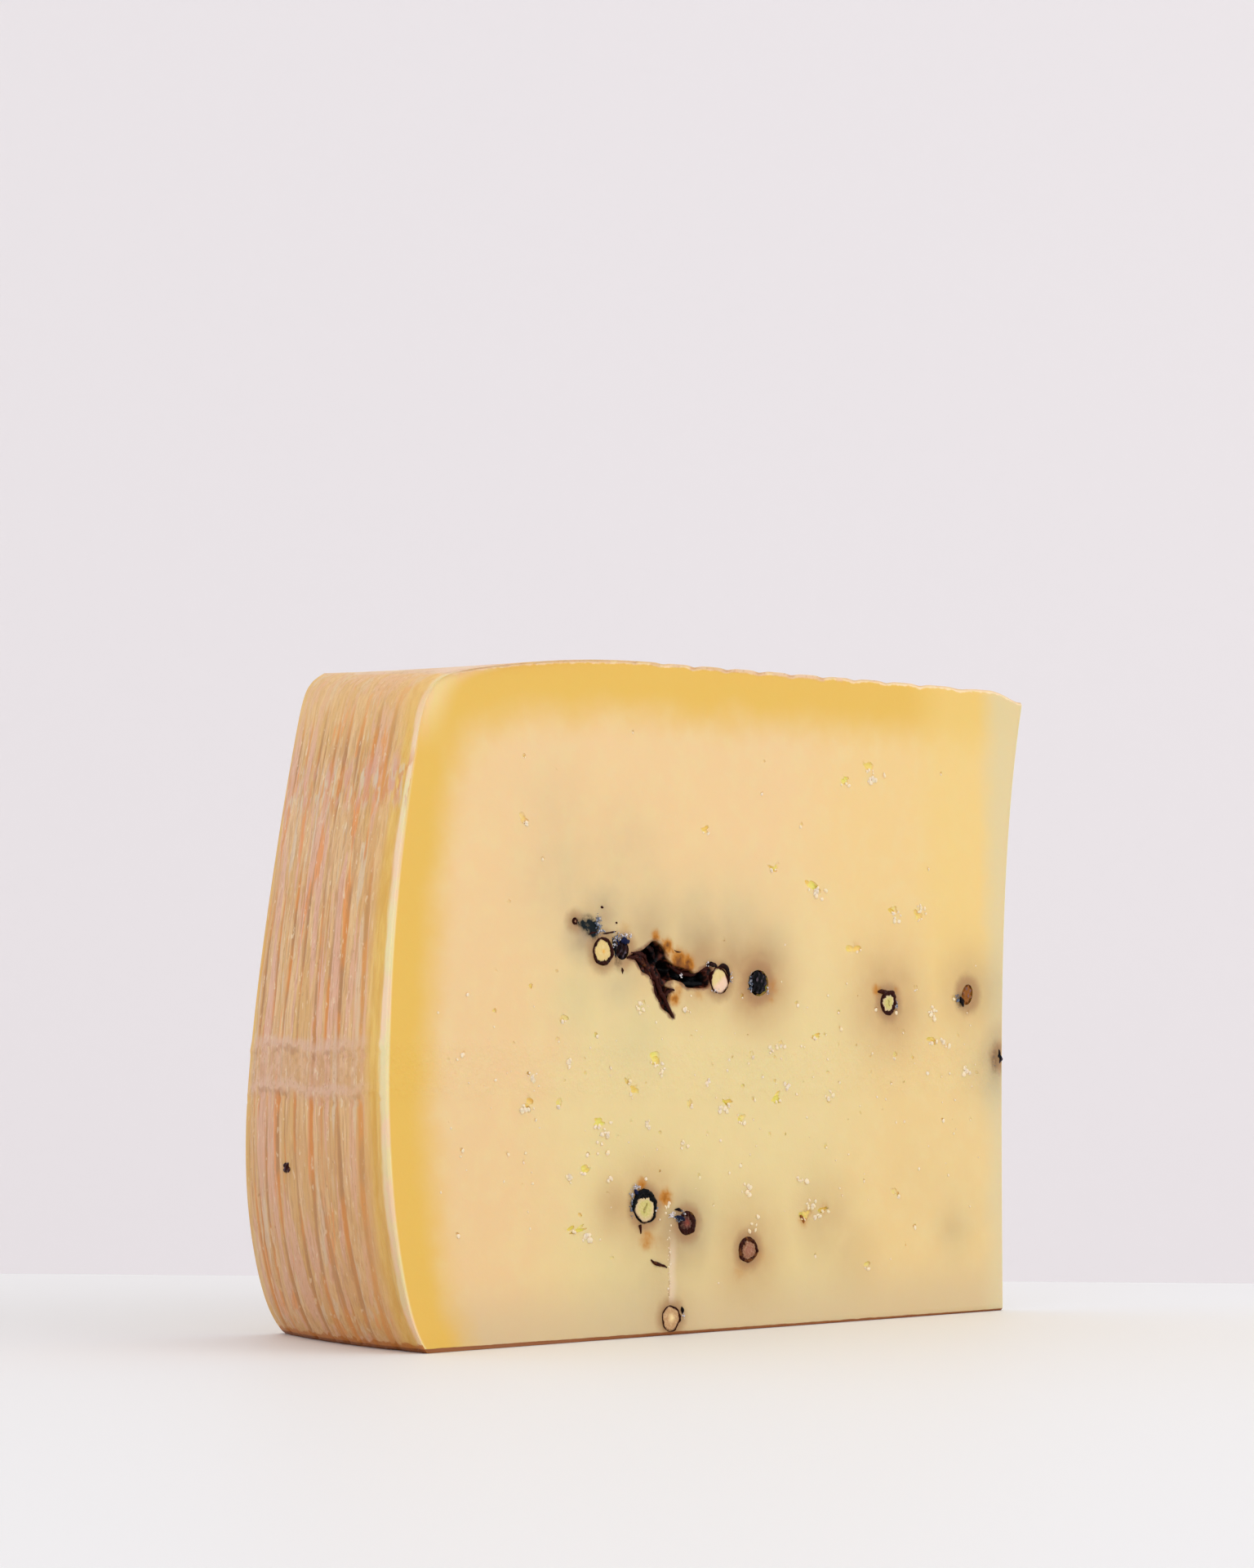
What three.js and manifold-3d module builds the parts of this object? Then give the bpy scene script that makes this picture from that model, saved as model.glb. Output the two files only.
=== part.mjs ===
// A wedge of peppered pecorino, cut from a barrel-sided wheel and standing on the wheel's base.
// Millimetres, +Z up. The wedge points along +X and its rind is the heel at -X.
// The near cut face looks towards -Y and the far one towards +Y. The base lies on Z = 0.

import * as THREE from 'three';
import { mergeVertices } from 'three/addons/utils/BufferGeometryUtils.js';
import Module from 'manifold-3d';

// ---- Driving dimensions ----

const WEDGE_ANGLE = 20.2; // degrees between the two cut faces
const BELLY_RADIUS = 156.9; // the wheel at its widest
const BELLY_HEIGHT = 46; // where the wheel is widest
const NEAR_REACH = 159.3; // from the tip to the rind at the belly, along the near cut
const FAR_REACH = 153.8; // and along the far one, as the tip was cut off the wheel's centre
const WHEEL_HEIGHT = 120.2; // the top, out to where it starts to fall
const CENTRE_RISE = 0.9; // how much higher the middle of the top is

const BASE_TUCK = 7.2; // how far the side draws in below the belly
const BASE_ROUND = 1.9; // the last rounding at the base
const TOP_TUCK = 10.5; // how far the side draws in above the belly
const RIM_HEIGHT = 114.4; // the rim beside the near cut face
const RIM_LIFT = 4.8; // how much higher the rim is beside the far one
const RIM_ROUND = 3.5; // how far the side draws in where it turns over the rim
const SAG = { mean: 0.7, swing: 2, height: 85 }; // the far side stands wider below, narrower above
const CROWN_RADIUS = 90; // inside this the top is flat, with mould rings
const CROWN_WIDTH = 54; // from there out to the rim
const NEAR_CROWN_FALL = 5.2;
const FAR_CROWN_FALL = 1.1;

const RING_PITCH = 8.4; // mould rings on the top
const RING_DEPTH = 0.5;

const GROOVE_ARCS = [3, 8.5, 15, 20.3, 25, 31, 38.3, 45, 51.5]; // along the heel from the near cut
const GROOVE_DEPTH = 0.75;
const GROOVE_WIDTH = 1.25;
const GROOVE_WANDER = 0.5; // sideways, as a groove rises
const GROOVE_ENDS = [104, 114]; // the grooves run out between these heights
const WORN_LEVEL = 87; // the grooves are shallower here
const RING_BREAK = [43.5, 51]; // two level lips that cross the grooves
const LIP_HEIGHT = 0.45;
const LIP_WIDTH = 1;

const TIP_WIDTH = 1.6;
const CUT_REACH = 180; // the knife cuts run past the heel
const TIP_OVERHANG = 7.4; // how far the tip leans out at the top
const TIP_DROP = 1.6; // the worn top corner of the tip

const HEEL_STEPS = 900; // round the whole wheel
const CROWN_STEPS = 200;

// ---- Places on the wedge ----

const HALF_ANGLE = THREE.MathUtils.degToRad(WEDGE_ANGLE / 2);

// Each cut face: the level direction from the tip to the heel, and the way the face looks.
const FACES = {
  near: {
    along: new THREE.Vector3(-Math.cos(HALF_ANGLE), -Math.sin(HALF_ANGLE), 0),
    outward: new THREE.Vector3(Math.sin(HALF_ANGLE), -Math.cos(HALF_ANGLE), 0),
  },
  far: {
    along: new THREE.Vector3(-Math.cos(HALF_ANGLE), Math.sin(HALF_ANGLE), 0),
    outward: new THREE.Vector3(Math.sin(HALF_ANGLE), Math.cos(HALF_ANGLE), 0),
  },
};

// How far the tip leans out at a height.
function lean(height) {
  return TIP_OVERHANG * Math.max(0, height / WHEEL_HEIGHT) ** 4;
}

// A point of a cut face: reach is its level distance from the tip, and rise stands it off the face.
// The near face is flat. The far one twists a little, because the tip leans out in the near face.
function onFace(face, reach, height, rise = 0) {
  const point = FACES[face].along.clone().multiplyScalar(reach);
  point.addScaledVector(FACES[face].outward, TIP_WIDTH / 2 + rise);
  if (face === 'far') {
    point.addScaledVector(FACES.near.along, -lean(height) * (1 - reach / CUT_REACH));
  }
  point.z = height;
  return point;
}

// The wheel's upright axis: both corners of the heel are one belly radius away from it.
function wheelCentre() {
  const near = onFace('near', NEAR_REACH, 0);
  const far = onFace('far', FAR_REACH, 0);
  const chord = far.clone().sub(near);
  const inwards = new THREE.Vector3(chord.y, -chord.x, 0).normalize();
  const depth = Math.sqrt(BELLY_RADIUS ** 2 - (chord.length() / 2) ** 2);
  return near.add(far).multiplyScalar(0.5).addScaledVector(inwards, depth);
}

const WHEEL_CENTRE = wheelCentre();

function wheelTurn(point) {
  const turn = Math.atan2(point.y - WHEEL_CENTRE.y, point.x - WHEEL_CENTRE.x);
  return turn < 0 ? turn + 2 * Math.PI : turn;
}

// The turn about that axis runs from the near cut to the far one.
const NEAR_TURN = wheelTurn(onFace('near', NEAR_REACH, 0));
const FAR_TURN = wheelTurn(onFace('far', FAR_REACH, 0));
const HEEL_ARC = (NEAR_TURN - FAR_TURN) * BELLY_RADIUS;

// How far across the heel a point lies: 0 at the near cut and 1 at the far one.
function acrossHeel(point) {
  return (NEAR_TURN - wheelTurn(point)) / (NEAR_TURN - FAR_TURN);
}

function onHeel(arc, height, rise = 0) {
  const turn = NEAR_TURN - arc / BELLY_RADIUS;
  const radius = sideRadius(height, arc / HEEL_ARC) + rise;
  return new THREE.Vector3(
    WHEEL_CENTRE.x + radius * Math.cos(turn),
    WHEEL_CENTRE.y + radius * Math.sin(turn),
    height,
  );
}

// ---- Shape of the wheel ----

// The barrel side: tucked in below and above the belly, and rounded at the base and the rim.
// Beside the far cut the wheel sags a little more, so it is wider below and narrower above.
function sideRadius(height, across) {
  const below = Math.max(0, 1 - height / BELLY_HEIGHT);
  const above = Math.max(0, (height - BELLY_HEIGHT) / (WHEEL_HEIGHT - BELLY_HEIGHT));
  const side = THREE.MathUtils.clamp(across, -0.2, 1.2);
  const rim = RIM_HEIGHT + RIM_LIFT * side;
  const sag = side * (SAG.mean + SAG.swing * Math.cos((Math.PI * height) / SAG.height));
  return (
    BELLY_RADIUS + sag -
    BASE_TUCK * below ** 2.2 -
    BASE_ROUND * Math.exp(-height / 3) -
    TOP_TUCK * above ** 2 -
    RIM_ROUND * Math.exp(Math.min(1, (height - rim) / 1.6))
  );
}

const bump = (distance, width) => Math.exp(-((distance / width) ** 2));

// Upright grooves left by the mould, which stop at the two lips of the ring break and near the rim.
function heelRelief(arc, height) {
  const [lowLip, highLip] = RING_BREAK;
  const inBreak = 0.7 * bump(height - (lowLip + highLip) / 2, (highLip - lowLip) * 0.62);
  const runOut = 0.9 * THREE.MathUtils.smoothstep(height, ...GROOVE_ENDS);
  const worn = 0.6 * bump(height - WORN_LEVEL, 5);
  const depth = GROOVE_DEPTH * (1 - inBreak) * (1 - runOut) * (1 - worn);
  let relief = 0;
  GROOVE_ARCS.forEach((place, index) => {
    const wander = GROOVE_WANDER * Math.sin(height / 17 + index * 2.1);
    relief -= depth * bump(arc - place - wander, GROOVE_WIDTH);
  });
  const lips = bump(height - lowLip, LIP_WIDTH) + bump(height - highLip, LIP_WIDTH);
  return relief + LIP_HEIGHT * lips * THREE.MathUtils.smoothstep(arc, 2, 6);
}

// The top: nearly flat with shallow mould rings, then falling to the rim, more so at the near side.
function crownHeight(radius, across) {
  const inside = Math.max(0, 1 - radius / CROWN_RADIUS);
  const outside = Math.max(0, (radius - CROWN_RADIUS) / CROWN_WIDTH);
  const side = THREE.MathUtils.clamp(across, 0, 1);
  const fall = THREE.MathUtils.lerp(NEAR_CROWN_FALL, FAR_CROWN_FALL, side);
  return WHEEL_HEIGHT + CENTRE_RISE * inside - fall * outside ** 2;
}

// ---- From three.js geometry to solids and back ----

const wasm = await Module();
wasm.setup();

function solidFrom(geometry) {
  const bare = geometry.clone();
  bare.deleteAttribute('normal');
  bare.deleteAttribute('uv');
  const merged = mergeVertices(bare, 1e-4);
  const corners = merged.index.array;
  const triangles = [];
  for (let i = 0; i < corners.length; i += 3) {
    const [a, b, c] = corners.slice(i, i + 3);
    if (a !== b && b !== c && c !== a) {
      triangles.push(a, b, c);
    }
  }
  return new wasm.Manifold(
    new wasm.Mesh({
      numProp: 3,
      vertProperties: new Float32Array(merged.attributes.position.array),
      triVerts: new Uint32Array(triangles),
    }),
  );
}

function geometryFrom(solid) {
  const mesh = solid.getMesh();
  const geometry = new THREE.BufferGeometry();
  geometry.setAttribute('position', new THREE.BufferAttribute(mesh.vertProperties, 3));
  geometry.setIndex(new THREE.BufferAttribute(mesh.triVerts, 1));
  geometry.computeVertexNormals();
  return geometry;
}

// Moves every vertex of a geometry by a rule that changes the point it is given.
function moveVertices(geometry, rule) {
  const position = geometry.attributes.position;
  const point = new THREE.Vector3();
  for (let i = 0; i < position.count; i += 1) {
    point.fromBufferAttribute(position, i);
    rule(point);
    position.setXYZ(i, point.x, point.y, point.z);
  }
  return geometry;
}

// ---- The wheel, cut to a wedge ----

// A solid of revolution about the wheel's own upright axis.
function turned(profile, steps) {
  const geometry = new THREE.LatheGeometry(profile, steps);
  geometry.rotateX(Math.PI / 2);
  geometry.translate(WHEEL_CENTRE.x, WHEEL_CENTRE.y, 0);
  return geometry;
}

function barrel() {
  const levels = [0, 1.5, 4, 8, 14, 21, 29, 37, 41.5, 43.5, 45.5, 49, 51, 53];
  const higher = [58, 65, 72, 79, 86, 92, 98, 104, 108, 111, 113.5, 116, 118, 121, 126];
  const profile = [new THREE.Vector2(0, 0)];
  for (const height of [...levels, ...higher]) {
    profile.push(new THREE.Vector2(sideRadius(height, 0), height));
  }
  profile.push(new THREE.Vector2(0, profile.at(-1).y));
  return moveVertices(turned(profile, HEEL_STEPS), (point) => {
    const radius = Math.hypot(point.x - WHEEL_CENTRE.x, point.y - WHEEL_CENTRE.y);
    const across = acrossHeel(point);
    if (radius < 1 || across < -0.3 || across > 1.3) {
      return;
    }
    const wanted = sideRadius(point.z, across) + heelRelief(across * HEEL_ARC, point.z);
    point.x = WHEEL_CENTRE.x + ((point.x - WHEEL_CENTRE.x) * wanted) / radius;
    point.y = WHEEL_CENTRE.y + ((point.y - WHEEL_CENTRE.y) * wanted) / radius;
  });
}

function crown() {
  const profile = [new THREE.Vector2(0, -10), new THREE.Vector2(BELLY_RADIUS + 20, -10)];
  for (let radius = BELLY_RADIUS + 20; radius > CROWN_RADIUS + 4; radius -= 8) {
    profile.push(new THREE.Vector2(radius, crownHeight(radius, 0)));
  }
  for (let ring = Math.floor(CROWN_RADIUS / RING_PITCH); ring > 0; ring -= 1) {
    for (const [step, depth] of [[0, 1], [-0.18, 0.25], [-0.5, 0], [-0.82, 0.25]]) {
      const radius = (ring + step) * RING_PITCH;
      profile.push(new THREE.Vector2(radius, crownHeight(radius, 0) - depth * RING_DEPTH));
    }
  }
  profile.push(new THREE.Vector2(0, WHEEL_HEIGHT));
  return moveVertices(turned(profile, CROWN_STEPS), (point) => {
    const radius = Math.hypot(point.x - WHEEL_CENTRE.x, point.y - WHEEL_CENTRE.y);
    if (point.z < 0) {
      return;
    }
    point.z += crownHeight(radius, acrossHeel(point)) - crownHeight(radius, 0);
    point.z -= TIP_DROP * THREE.MathUtils.smoothstep(point.x, -3, TIP_OVERHANG);
  });
}

// The two knife cuts and the blunt tip between them, which leans outwards as it rises.
function wedge() {
  const corners = [
    onFace('near', 0, 0),
    onFace('far', 0, 0),
    onFace('far', CUT_REACH, 0),
    onFace('near', CUT_REACH, 0),
  ];
  const outline = new THREE.Shape(corners.map((corner) => new THREE.Vector2(corner.x, corner.y)));
  const geometry = new THREE.ExtrudeGeometry(outline, { depth: 140, steps: 14, bevelEnabled: false });
  geometry.translate(0, 0, -5);
  return moveVertices(geometry, (point) => {
    if (point.x > -10) {
      point.addScaledVector(FACES.near.along, -lean(point.z));
    }
  });
}

// ---- Peppercorns and eyes ----

// A seeded draw between 0 and 1, so that every run gives the same shapes.
function drawer(seed) {
  let state = seed;
  return () => {
    state = (state * 16807) % 2147483647;
    return state / 2147483647;
  };
}

// An uneven ball of the given half sizes: across the face, out of the face and up.
function lump(place, turn, sizes, detail, unevenness, seed) {
  const draw = drawer(seed);
  const geometry = new THREE.IcosahedronGeometry(1, detail);
  geometry.deleteAttribute('normal');
  geometry.deleteAttribute('uv');
  const ball = mergeVertices(geometry, 1e-4);
  moveVertices(ball, (point) => point.multiplyScalar(1 + unevenness * (draw() - 0.5)));
  ball.scale(...sizes);
  ball.rotateZ(turn);
  ball.translate(place.x, place.y, place.z);
  return solidFrom(ball);
}

// Turns a lump so that its first size runs along a cut face.
const FACE_TURN = { near: HALF_ANGLE, far: -HALF_ANGLE };

// Peppercorns of the near face, from the heel to the tip: reach, height, diameter and how far each
// stands proud. The sliced ones are nearly flush, and the whole ones stand out.
const NEAR_PEPPERCORNS = [
  [112.6, 72.9, 3.4, 0.5],
  [108.7, 68.1, 4.9, 0.5],
  [104.2, 68.8, 3.8, 0.6],
  [79.3, 63.2, 4.7, 0.5],
  [68.8, 62.9, 5.2, 0.9],
  [33.2, 59.4, 5.0, 0.5],
  [10.7, 61.1, 3.8, 0.5],
  [98.4, 22.9, 6.1, 0.5],
  [88.0, 19.7, 4.7, 0.8],
  [72.0, 14.5, 5.1, 0.5],
  [91.8, 3.0, 4.6, 0.5],
];

// The far face isn't a copy of the near one, but has peppercorns of the same sizes in loose lines.
const FAR_PEPPERCORNS = [
  [121, 66.5, 4.8, 0.5],
  [96.5, 71, 5.2, 0.9],
  [90.5, 69.5, 4.4, 0.5],
  [58, 64.5, 5.0, 0.5],
  [37.5, 70, 4.6, 0.8],
  [104, 24.5, 5.1, 0.5],
  [76, 17, 4.7, 0.5],
  [69.5, 19.5, 4.5, 0.6],
  [30, 27, 5.0, 0.5],
];

const SEED_DEPTH = 1; // half the depth of the flattened grain that stands on the face

const HEEL_PEPPERCORN = { arc: 34.5, height: 30.3, diameter: 2.6 };

// The hollow where a cluster of peppercorns tore out of the near face: reach, height and half sizes.
const HOLLOW = [
  [96.6, 67.4, 4.4, 2.6],
  [93.6, 63.9, 3.6, 3.2],
  [89.2, 64.2, 3.6, 2.3],
  [84.6, 63.8, 3.4, 1.9],
  [92.6, 59.9, 1.5, 2.4],
];
const HOLLOW_DEPTH = 4.5;

// The larger eyes and tears of the near face: reach, height, width and how tall each is.
const NEAR_EYES = [
  [38.8, 104, 3.6, 1.9], [44.8, 101.4, 2.6, 1.4], [128.3, 90.7, 1.8, 1.6], [83.3, 90.8, 2.6, 1.5],
  [54.8, 81.1, 3.4, 1.7], [64.8, 84, 2.6, 1.1], [30.8, 77.5, 2.8, 1.6], [24.2, 76.4, 2.8, 2.2],
  [43.1, 69.9, 3.8, 1.5], [118.4, 56.3, 1.9, 1.7], [95.8, 48.9, 2.4, 2.2], [102.8, 45.5, 2.6, 2],
  [76.2, 41.2, 3.2, 1.3], [64.2, 41.9, 3.6, 1.5], [73.8, 38.5, 2.2, 1.6], [126.5, 41.4, 2.4, 1.5],
  [108, 38, 2.2, 1.8], [89, 37.4, 2.2, 1.5], [115.6, 19.5, 4.4, 1.1], [56.6, 20.4, 3, 2.4],
  [50.8, 21, 3.6, 1], [20.4, 52.6, 2.6, 1.3], [31.5, 23.6, 2, 1.6], [39.8, 10.2, 1.6, 1.1],
];
const FAR_EYE_COUNT = 20;
const EYE_DEPTH = 0.95;

function addPeppercorns(cheese, face, peppercorns) {
  let body = cheese;
  peppercorns.forEach(([reach, height, diameter, proud], index) => {
    const seed = 100 + index * 17;
    const half = diameter / 2;
    const seat = onFace(face, reach, height, proud - SEED_DEPTH);
    body = body.add(lump(seat, FACE_TURN[face], [half, SEED_DEPTH, half], 1, 0.12, seed));
  });
  return body;
}

function cutEyes(cheese, face, eyes) {
  let body = cheese;
  eyes.forEach(([reach, height, width, tall], index) => {
    const sizes = [width / 2, EYE_DEPTH, tall / 2];
    const place = onFace(face, reach, height, 0.15);
    body = body.subtract(lump(place, FACE_TURN[face], sizes, 0, 0.3, 500 + index * 29));
  });
  return body;
}

// Eyes of the far face, drawn over the same ground: few above, and most between the lines of pepper.
function farEyes() {
  const draw = drawer(4242);
  const eyes = [];
  while (eyes.length < FAR_EYE_COUNT) {
    const eye = [12 + 118 * draw(), 8 + 92 * draw() ** 1.3, 1.8 + 2 * draw(), 1.1 + 0.9 * draw()];
    const others = [...eyes, ...FAR_PEPPERCORNS];
    if (others.every(([reach, height]) => Math.hypot(reach - eye[0], height - eye[1]) > 7)) {
      eyes.push(eye);
    }
  }
  return eyes;
}

function tearHollow(cheese) {
  return HOLLOW.reduce((body, [reach, height, wide, tall], index) => {
    const sizes = [wide, HOLLOW_DEPTH, tall];
    return body.subtract(lump(onFace('near', reach, height), HALF_ANGLE, sizes, 1, 0.25, 900 + index));
  }, cheese);
}

function heelPeppercorn(cheese) {
  const { arc, height, diameter } = HEEL_PEPPERCORN;
  const half = diameter / 2;
  return cheese.add(lump(onHeel(arc, height, -0.7), 0, [1.3, half, half], 1, 0.1, 77));
}

// ---- The wedge as one piece ----

function cheeseSolid() {
  let cheese = solidFrom(barrel()).intersect(solidFrom(crown())).intersect(solidFrom(wedge()));
  cheese = tearHollow(cheese);
  cheese = cutEyes(cheese, 'near', NEAR_EYES);
  cheese = cutEyes(cheese, 'far', farEyes());
  cheese = addPeppercorns(cheese, 'near', NEAR_PEPPERCORNS);
  cheese = addPeppercorns(cheese, 'far', FAR_PEPPERCORNS);
  return heelPeppercorn(cheese);
}

const paste = new THREE.MeshStandardMaterial({
  name: 'pecorino_paste',
  color: 0xefcf98,
  roughness: 0.5,
  metalness: 0,
});

const cheeseGeometry = geometryFrom(cheeseSolid());
cheeseGeometry.computeBoundingBox();
const middle = cheeseGeometry.boundingBox.getCenter(new THREE.Vector3());

const pecorinoWedge = new THREE.Mesh(cheeseGeometry, paste);
pecorinoWedge.name = 'pecorino_wedge';
pecorinoWedge.position.set(-middle.x, -middle.y, 0);

const pecorino = new THREE.Group();
pecorino.name = 'peppered_pecorino';
pecorino.add(pecorinoWedge);

export default pecorino;
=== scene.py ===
"""A wedge of peppered pecorino: ridged rind, two knife-cut faces with eyes, sliced and whole
peppercorns, and a small torn hollow.

Shapes are worked out in millimetres from the tip of the wedge, on its base: +Z up, the heel
towards -X, the near cut face towards -Y. settle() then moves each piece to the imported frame.
"""

import math

import bmesh
import bpy
import numpy as np
from mathutils import Euler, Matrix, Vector


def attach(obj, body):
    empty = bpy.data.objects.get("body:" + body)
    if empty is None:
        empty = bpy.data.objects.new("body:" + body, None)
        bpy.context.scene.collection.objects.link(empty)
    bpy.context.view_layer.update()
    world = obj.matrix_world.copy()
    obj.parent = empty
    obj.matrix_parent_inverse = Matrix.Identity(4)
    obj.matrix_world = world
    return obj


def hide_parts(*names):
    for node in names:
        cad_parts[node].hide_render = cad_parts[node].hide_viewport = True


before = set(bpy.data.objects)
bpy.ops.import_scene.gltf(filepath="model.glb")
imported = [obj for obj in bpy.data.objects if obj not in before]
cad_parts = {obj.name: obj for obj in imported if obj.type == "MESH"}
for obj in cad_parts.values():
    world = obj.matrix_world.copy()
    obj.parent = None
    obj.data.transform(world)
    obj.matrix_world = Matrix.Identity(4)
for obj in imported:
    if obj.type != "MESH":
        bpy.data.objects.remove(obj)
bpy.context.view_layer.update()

# ---- Driving dimensions, in millimetres ----

TIP_FROM_MIDDLE = np.array([75.289, 0.385, 0.0])

WEDGE_ANGLE = 20.2  # degrees between the two cut faces
BELLY_RADIUS = 156.9
BELLY_HEIGHT = 46.0
NEAR_REACH = 159.3
FAR_REACH = 153.8
WHEEL_HEIGHT = 120.2
CENTRE_RISE = 0.9

BASE_TUCK = 7.2
BASE_ROUND = 1.9
BASE_ROUND_HEIGHT = 3.0
TOP_TUCK = 10.5
RIM_HEIGHT = 114.4
RIM_LIFT = 4.8
RIM_ROUND = 3.5
RIM_ROUND_HEIGHT = 1.6
SAG_MEAN = 0.7
SAG_SWING = 2.0
SAG_HEIGHT = 85.0
CROWN_RADIUS = 90.0
CROWN_WIDTH = 54.0
NEAR_CROWN_FALL = 5.2
FAR_CROWN_FALL = 1.1

RING_PITCH = 8.4
RING_DEPTH = 0.34
GROOVE_ARCS = (3, 8.5, 15, 20.3, 25, 31, 38.3, 45, 51.5)
GROOVE_SHARES = (0.5, 1.0, 0.8, 0.55, 0.9, 0.7, 0.9, 0.6, 0.7)
GROOVE_DEPTH = 0.45
GROOVE_WIDTH = 0.7
GROOVE_WANDER = 0.6
GROOVE_ENDS = (104.0, 116.0)
FINE_GROOVES = 44
WORN_LEVEL = 87.0
RING_BREAK = (43.5, 51.0)
LIP_HEIGHT = 0.2
LIP_WIDTH = 0.7

TIP_WIDTH = 1.6
CUT_REACH = 180.0
TIP_OVERHANG = 7.4
TIP_DROP = 1.6

EDGE = 0.4  # the narrow bevel on every edge of the wedge
EDGE_TURN = 52  # degrees between faces, above which the wedge's edges are drawn sharp
SMALL_EDGE_TURN = 80  # the same for the small pieces
SKIN_DEPTH = 0.3  # how deep under the side or the top still counts as rind
FINE_STEPS = 600  # points on a curve before it is divided evenly
NEAR_GRID = (178, 128)  # points on a surface: along it, then upwards or across
FAR_GRID = (105, 80)
HEEL_GRID = (190, 180)
TOP_GRID = (190, 30)
BASE_GRID = (60, 14)
TIP_COLUMNS = 5
LID_EDGE = 0.5  # how far the top and the base are drawn in from the faces
LID_TIP_EDGE = 0.3
MIDDLE = np.array([-95.0, 0.0])  # about the wedge's middle in plan

# ---- Places on the wedge ----

TURN = 2 * math.pi
HALF_ANGLE = math.radians(WEDGE_ANGLE / 2)
NEAR_ALONG = np.array([-math.cos(HALF_ANGLE), -math.sin(HALF_ANGLE), 0.0])
NEAR_OUT = np.array([math.sin(HALF_ANGLE), -math.cos(HALF_ANGLE), 0.0])
FAR_ALONG = NEAR_ALONG * [1, -1, 1]
FAR_OUT = NEAR_OUT * [1, -1, 1]
UP = np.array([0.0, 0.0, 1.0])
FACE_AXES = {
    "near": np.array([NEAR_ALONG, NEAR_OUT, UP]),
    "far": np.array([FAR_ALONG, FAR_OUT, UP]),
}


def smooth(value, low, high):
    """Rises from 0 at low to 1 at high as 3t^2 - 2t^3."""
    share = np.clip((value - low) / (high - low), 0, 1)
    return share * share * (3 - 2 * share)


def bump(distance, width):
    """A bell: e to the minus square of distance over width."""
    return np.exp(-((distance / width) ** 2))


def lean(height):
    """How far the tip leans out: with the fourth power of the height."""
    return TIP_OVERHANG * (np.clip(height, 0, None) / WHEEL_HEIGHT) ** 4


def near_face(reach, height, rise=0.0):
    """Reach along the near cut, height, and half the tip's width plus a rise out of the face."""
    reach, height, rise = np.broadcast_arrays(reach, height, rise)
    point = reach[..., None] * NEAR_ALONG + (TIP_WIDTH / 2 + rise)[..., None] * NEAR_OUT
    point[..., 2] = height
    return point


def far_face(reach, height, rise=0.0):
    """As the near face, but twisted: towards the tip the points lean out with it."""
    reach, height, rise = np.broadcast_arrays(reach, height, rise)
    point = reach[..., None] * FAR_ALONG + (TIP_WIDTH / 2 + rise)[..., None] * FAR_OUT
    point -= (lean(height) * (1 - reach / CUT_REACH))[..., None] * NEAR_ALONG
    point[..., 2] = height
    return point


CUTS = {"near": near_face, "far": far_face}


def wheel_centre():
    """The point at one belly radius from both corners of the heel."""
    near, far = near_face(NEAR_REACH, 0.0), far_face(FAR_REACH, 0.0)
    chord = far - near
    inwards = np.array([chord[1], -chord[0], 0]) / np.linalg.norm(chord)
    depth = math.sqrt(BELLY_RADIUS**2 - (np.linalg.norm(chord) / 2) ** 2)
    return ((near + far) / 2 + inwards * depth)[:2]


WHEEL_CENTRE = wheel_centre()


def wheel_turn(point):
    """The direction of a point from the wheel's axis, from 0 to a whole turn."""
    flat = point[..., :2] - WHEEL_CENTRE
    return np.mod(np.arctan2(flat[..., 1], flat[..., 0]), TURN)


NEAR_TURN = float(wheel_turn(near_face(NEAR_REACH, 0.0)))
FAR_TURN = float(wheel_turn(far_face(FAR_REACH, 0.0)))
HEEL_ARC = (NEAR_TURN - FAR_TURN) * BELLY_RADIUS


def wheel_place(point):
    """Distance from the wheel's axis, and how far across the heel: 0 near, 1 far."""
    flat = point[..., :2] - WHEEL_CENTRE
    across = (NEAR_TURN - wheel_turn(point)) / (NEAR_TURN - FAR_TURN)
    return np.hypot(flat[..., 0], flat[..., 1]), across


# ---- Shape of the wheel ----


def side_radius(height, across):
    """The barrel side: belly radius, less a power of the depth below and above the belly, less
    exponential roundings at the base and the rim, plus a cosine sag towards the far cut."""
    below = np.clip(1 - height / BELLY_HEIGHT, 0, None)
    above = np.clip((height - BELLY_HEIGHT) / (WHEEL_HEIGHT - BELLY_HEIGHT), 0, None)
    side = np.clip(across, -0.2, 1.2)
    rim = RIM_HEIGHT + RIM_LIFT * side
    sag = side * (SAG_MEAN + SAG_SWING * np.cos(math.pi * height / SAG_HEIGHT))
    rounding = BASE_ROUND * np.exp(-height / BASE_ROUND_HEIGHT)
    rounding = rounding + RIM_ROUND * np.exp(np.minimum(1, (height - rim) / RIM_ROUND_HEIGHT))
    return BELLY_RADIUS + sag - BASE_TUCK * below**2.2 - TOP_TUCK * above**2 - rounding


def groove_lines():
    """Arc, width, depth share and the heights between which each upright groove runs. Fine grooves
    are drawn between the main ones, shallower and shorter."""
    draw = np.random.default_rng(31)
    lines = [(arc, GROOVE_WIDTH, share, -20.0, 140.0)
             for arc, share in zip(GROOVE_ARCS, GROOVE_SHARES)]
    for _ in range(FINE_GROOVES):
        middle, half = draw.uniform(0, 110), draw.uniform(7, 24)
        width, depth = draw.uniform(0.25, 0.42), draw.uniform(0.3, 0.7)
        lines.append((draw.uniform(1.2, 56), width, depth, middle - half, middle + half))
    return lines


GROOVES = groove_lines()


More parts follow.
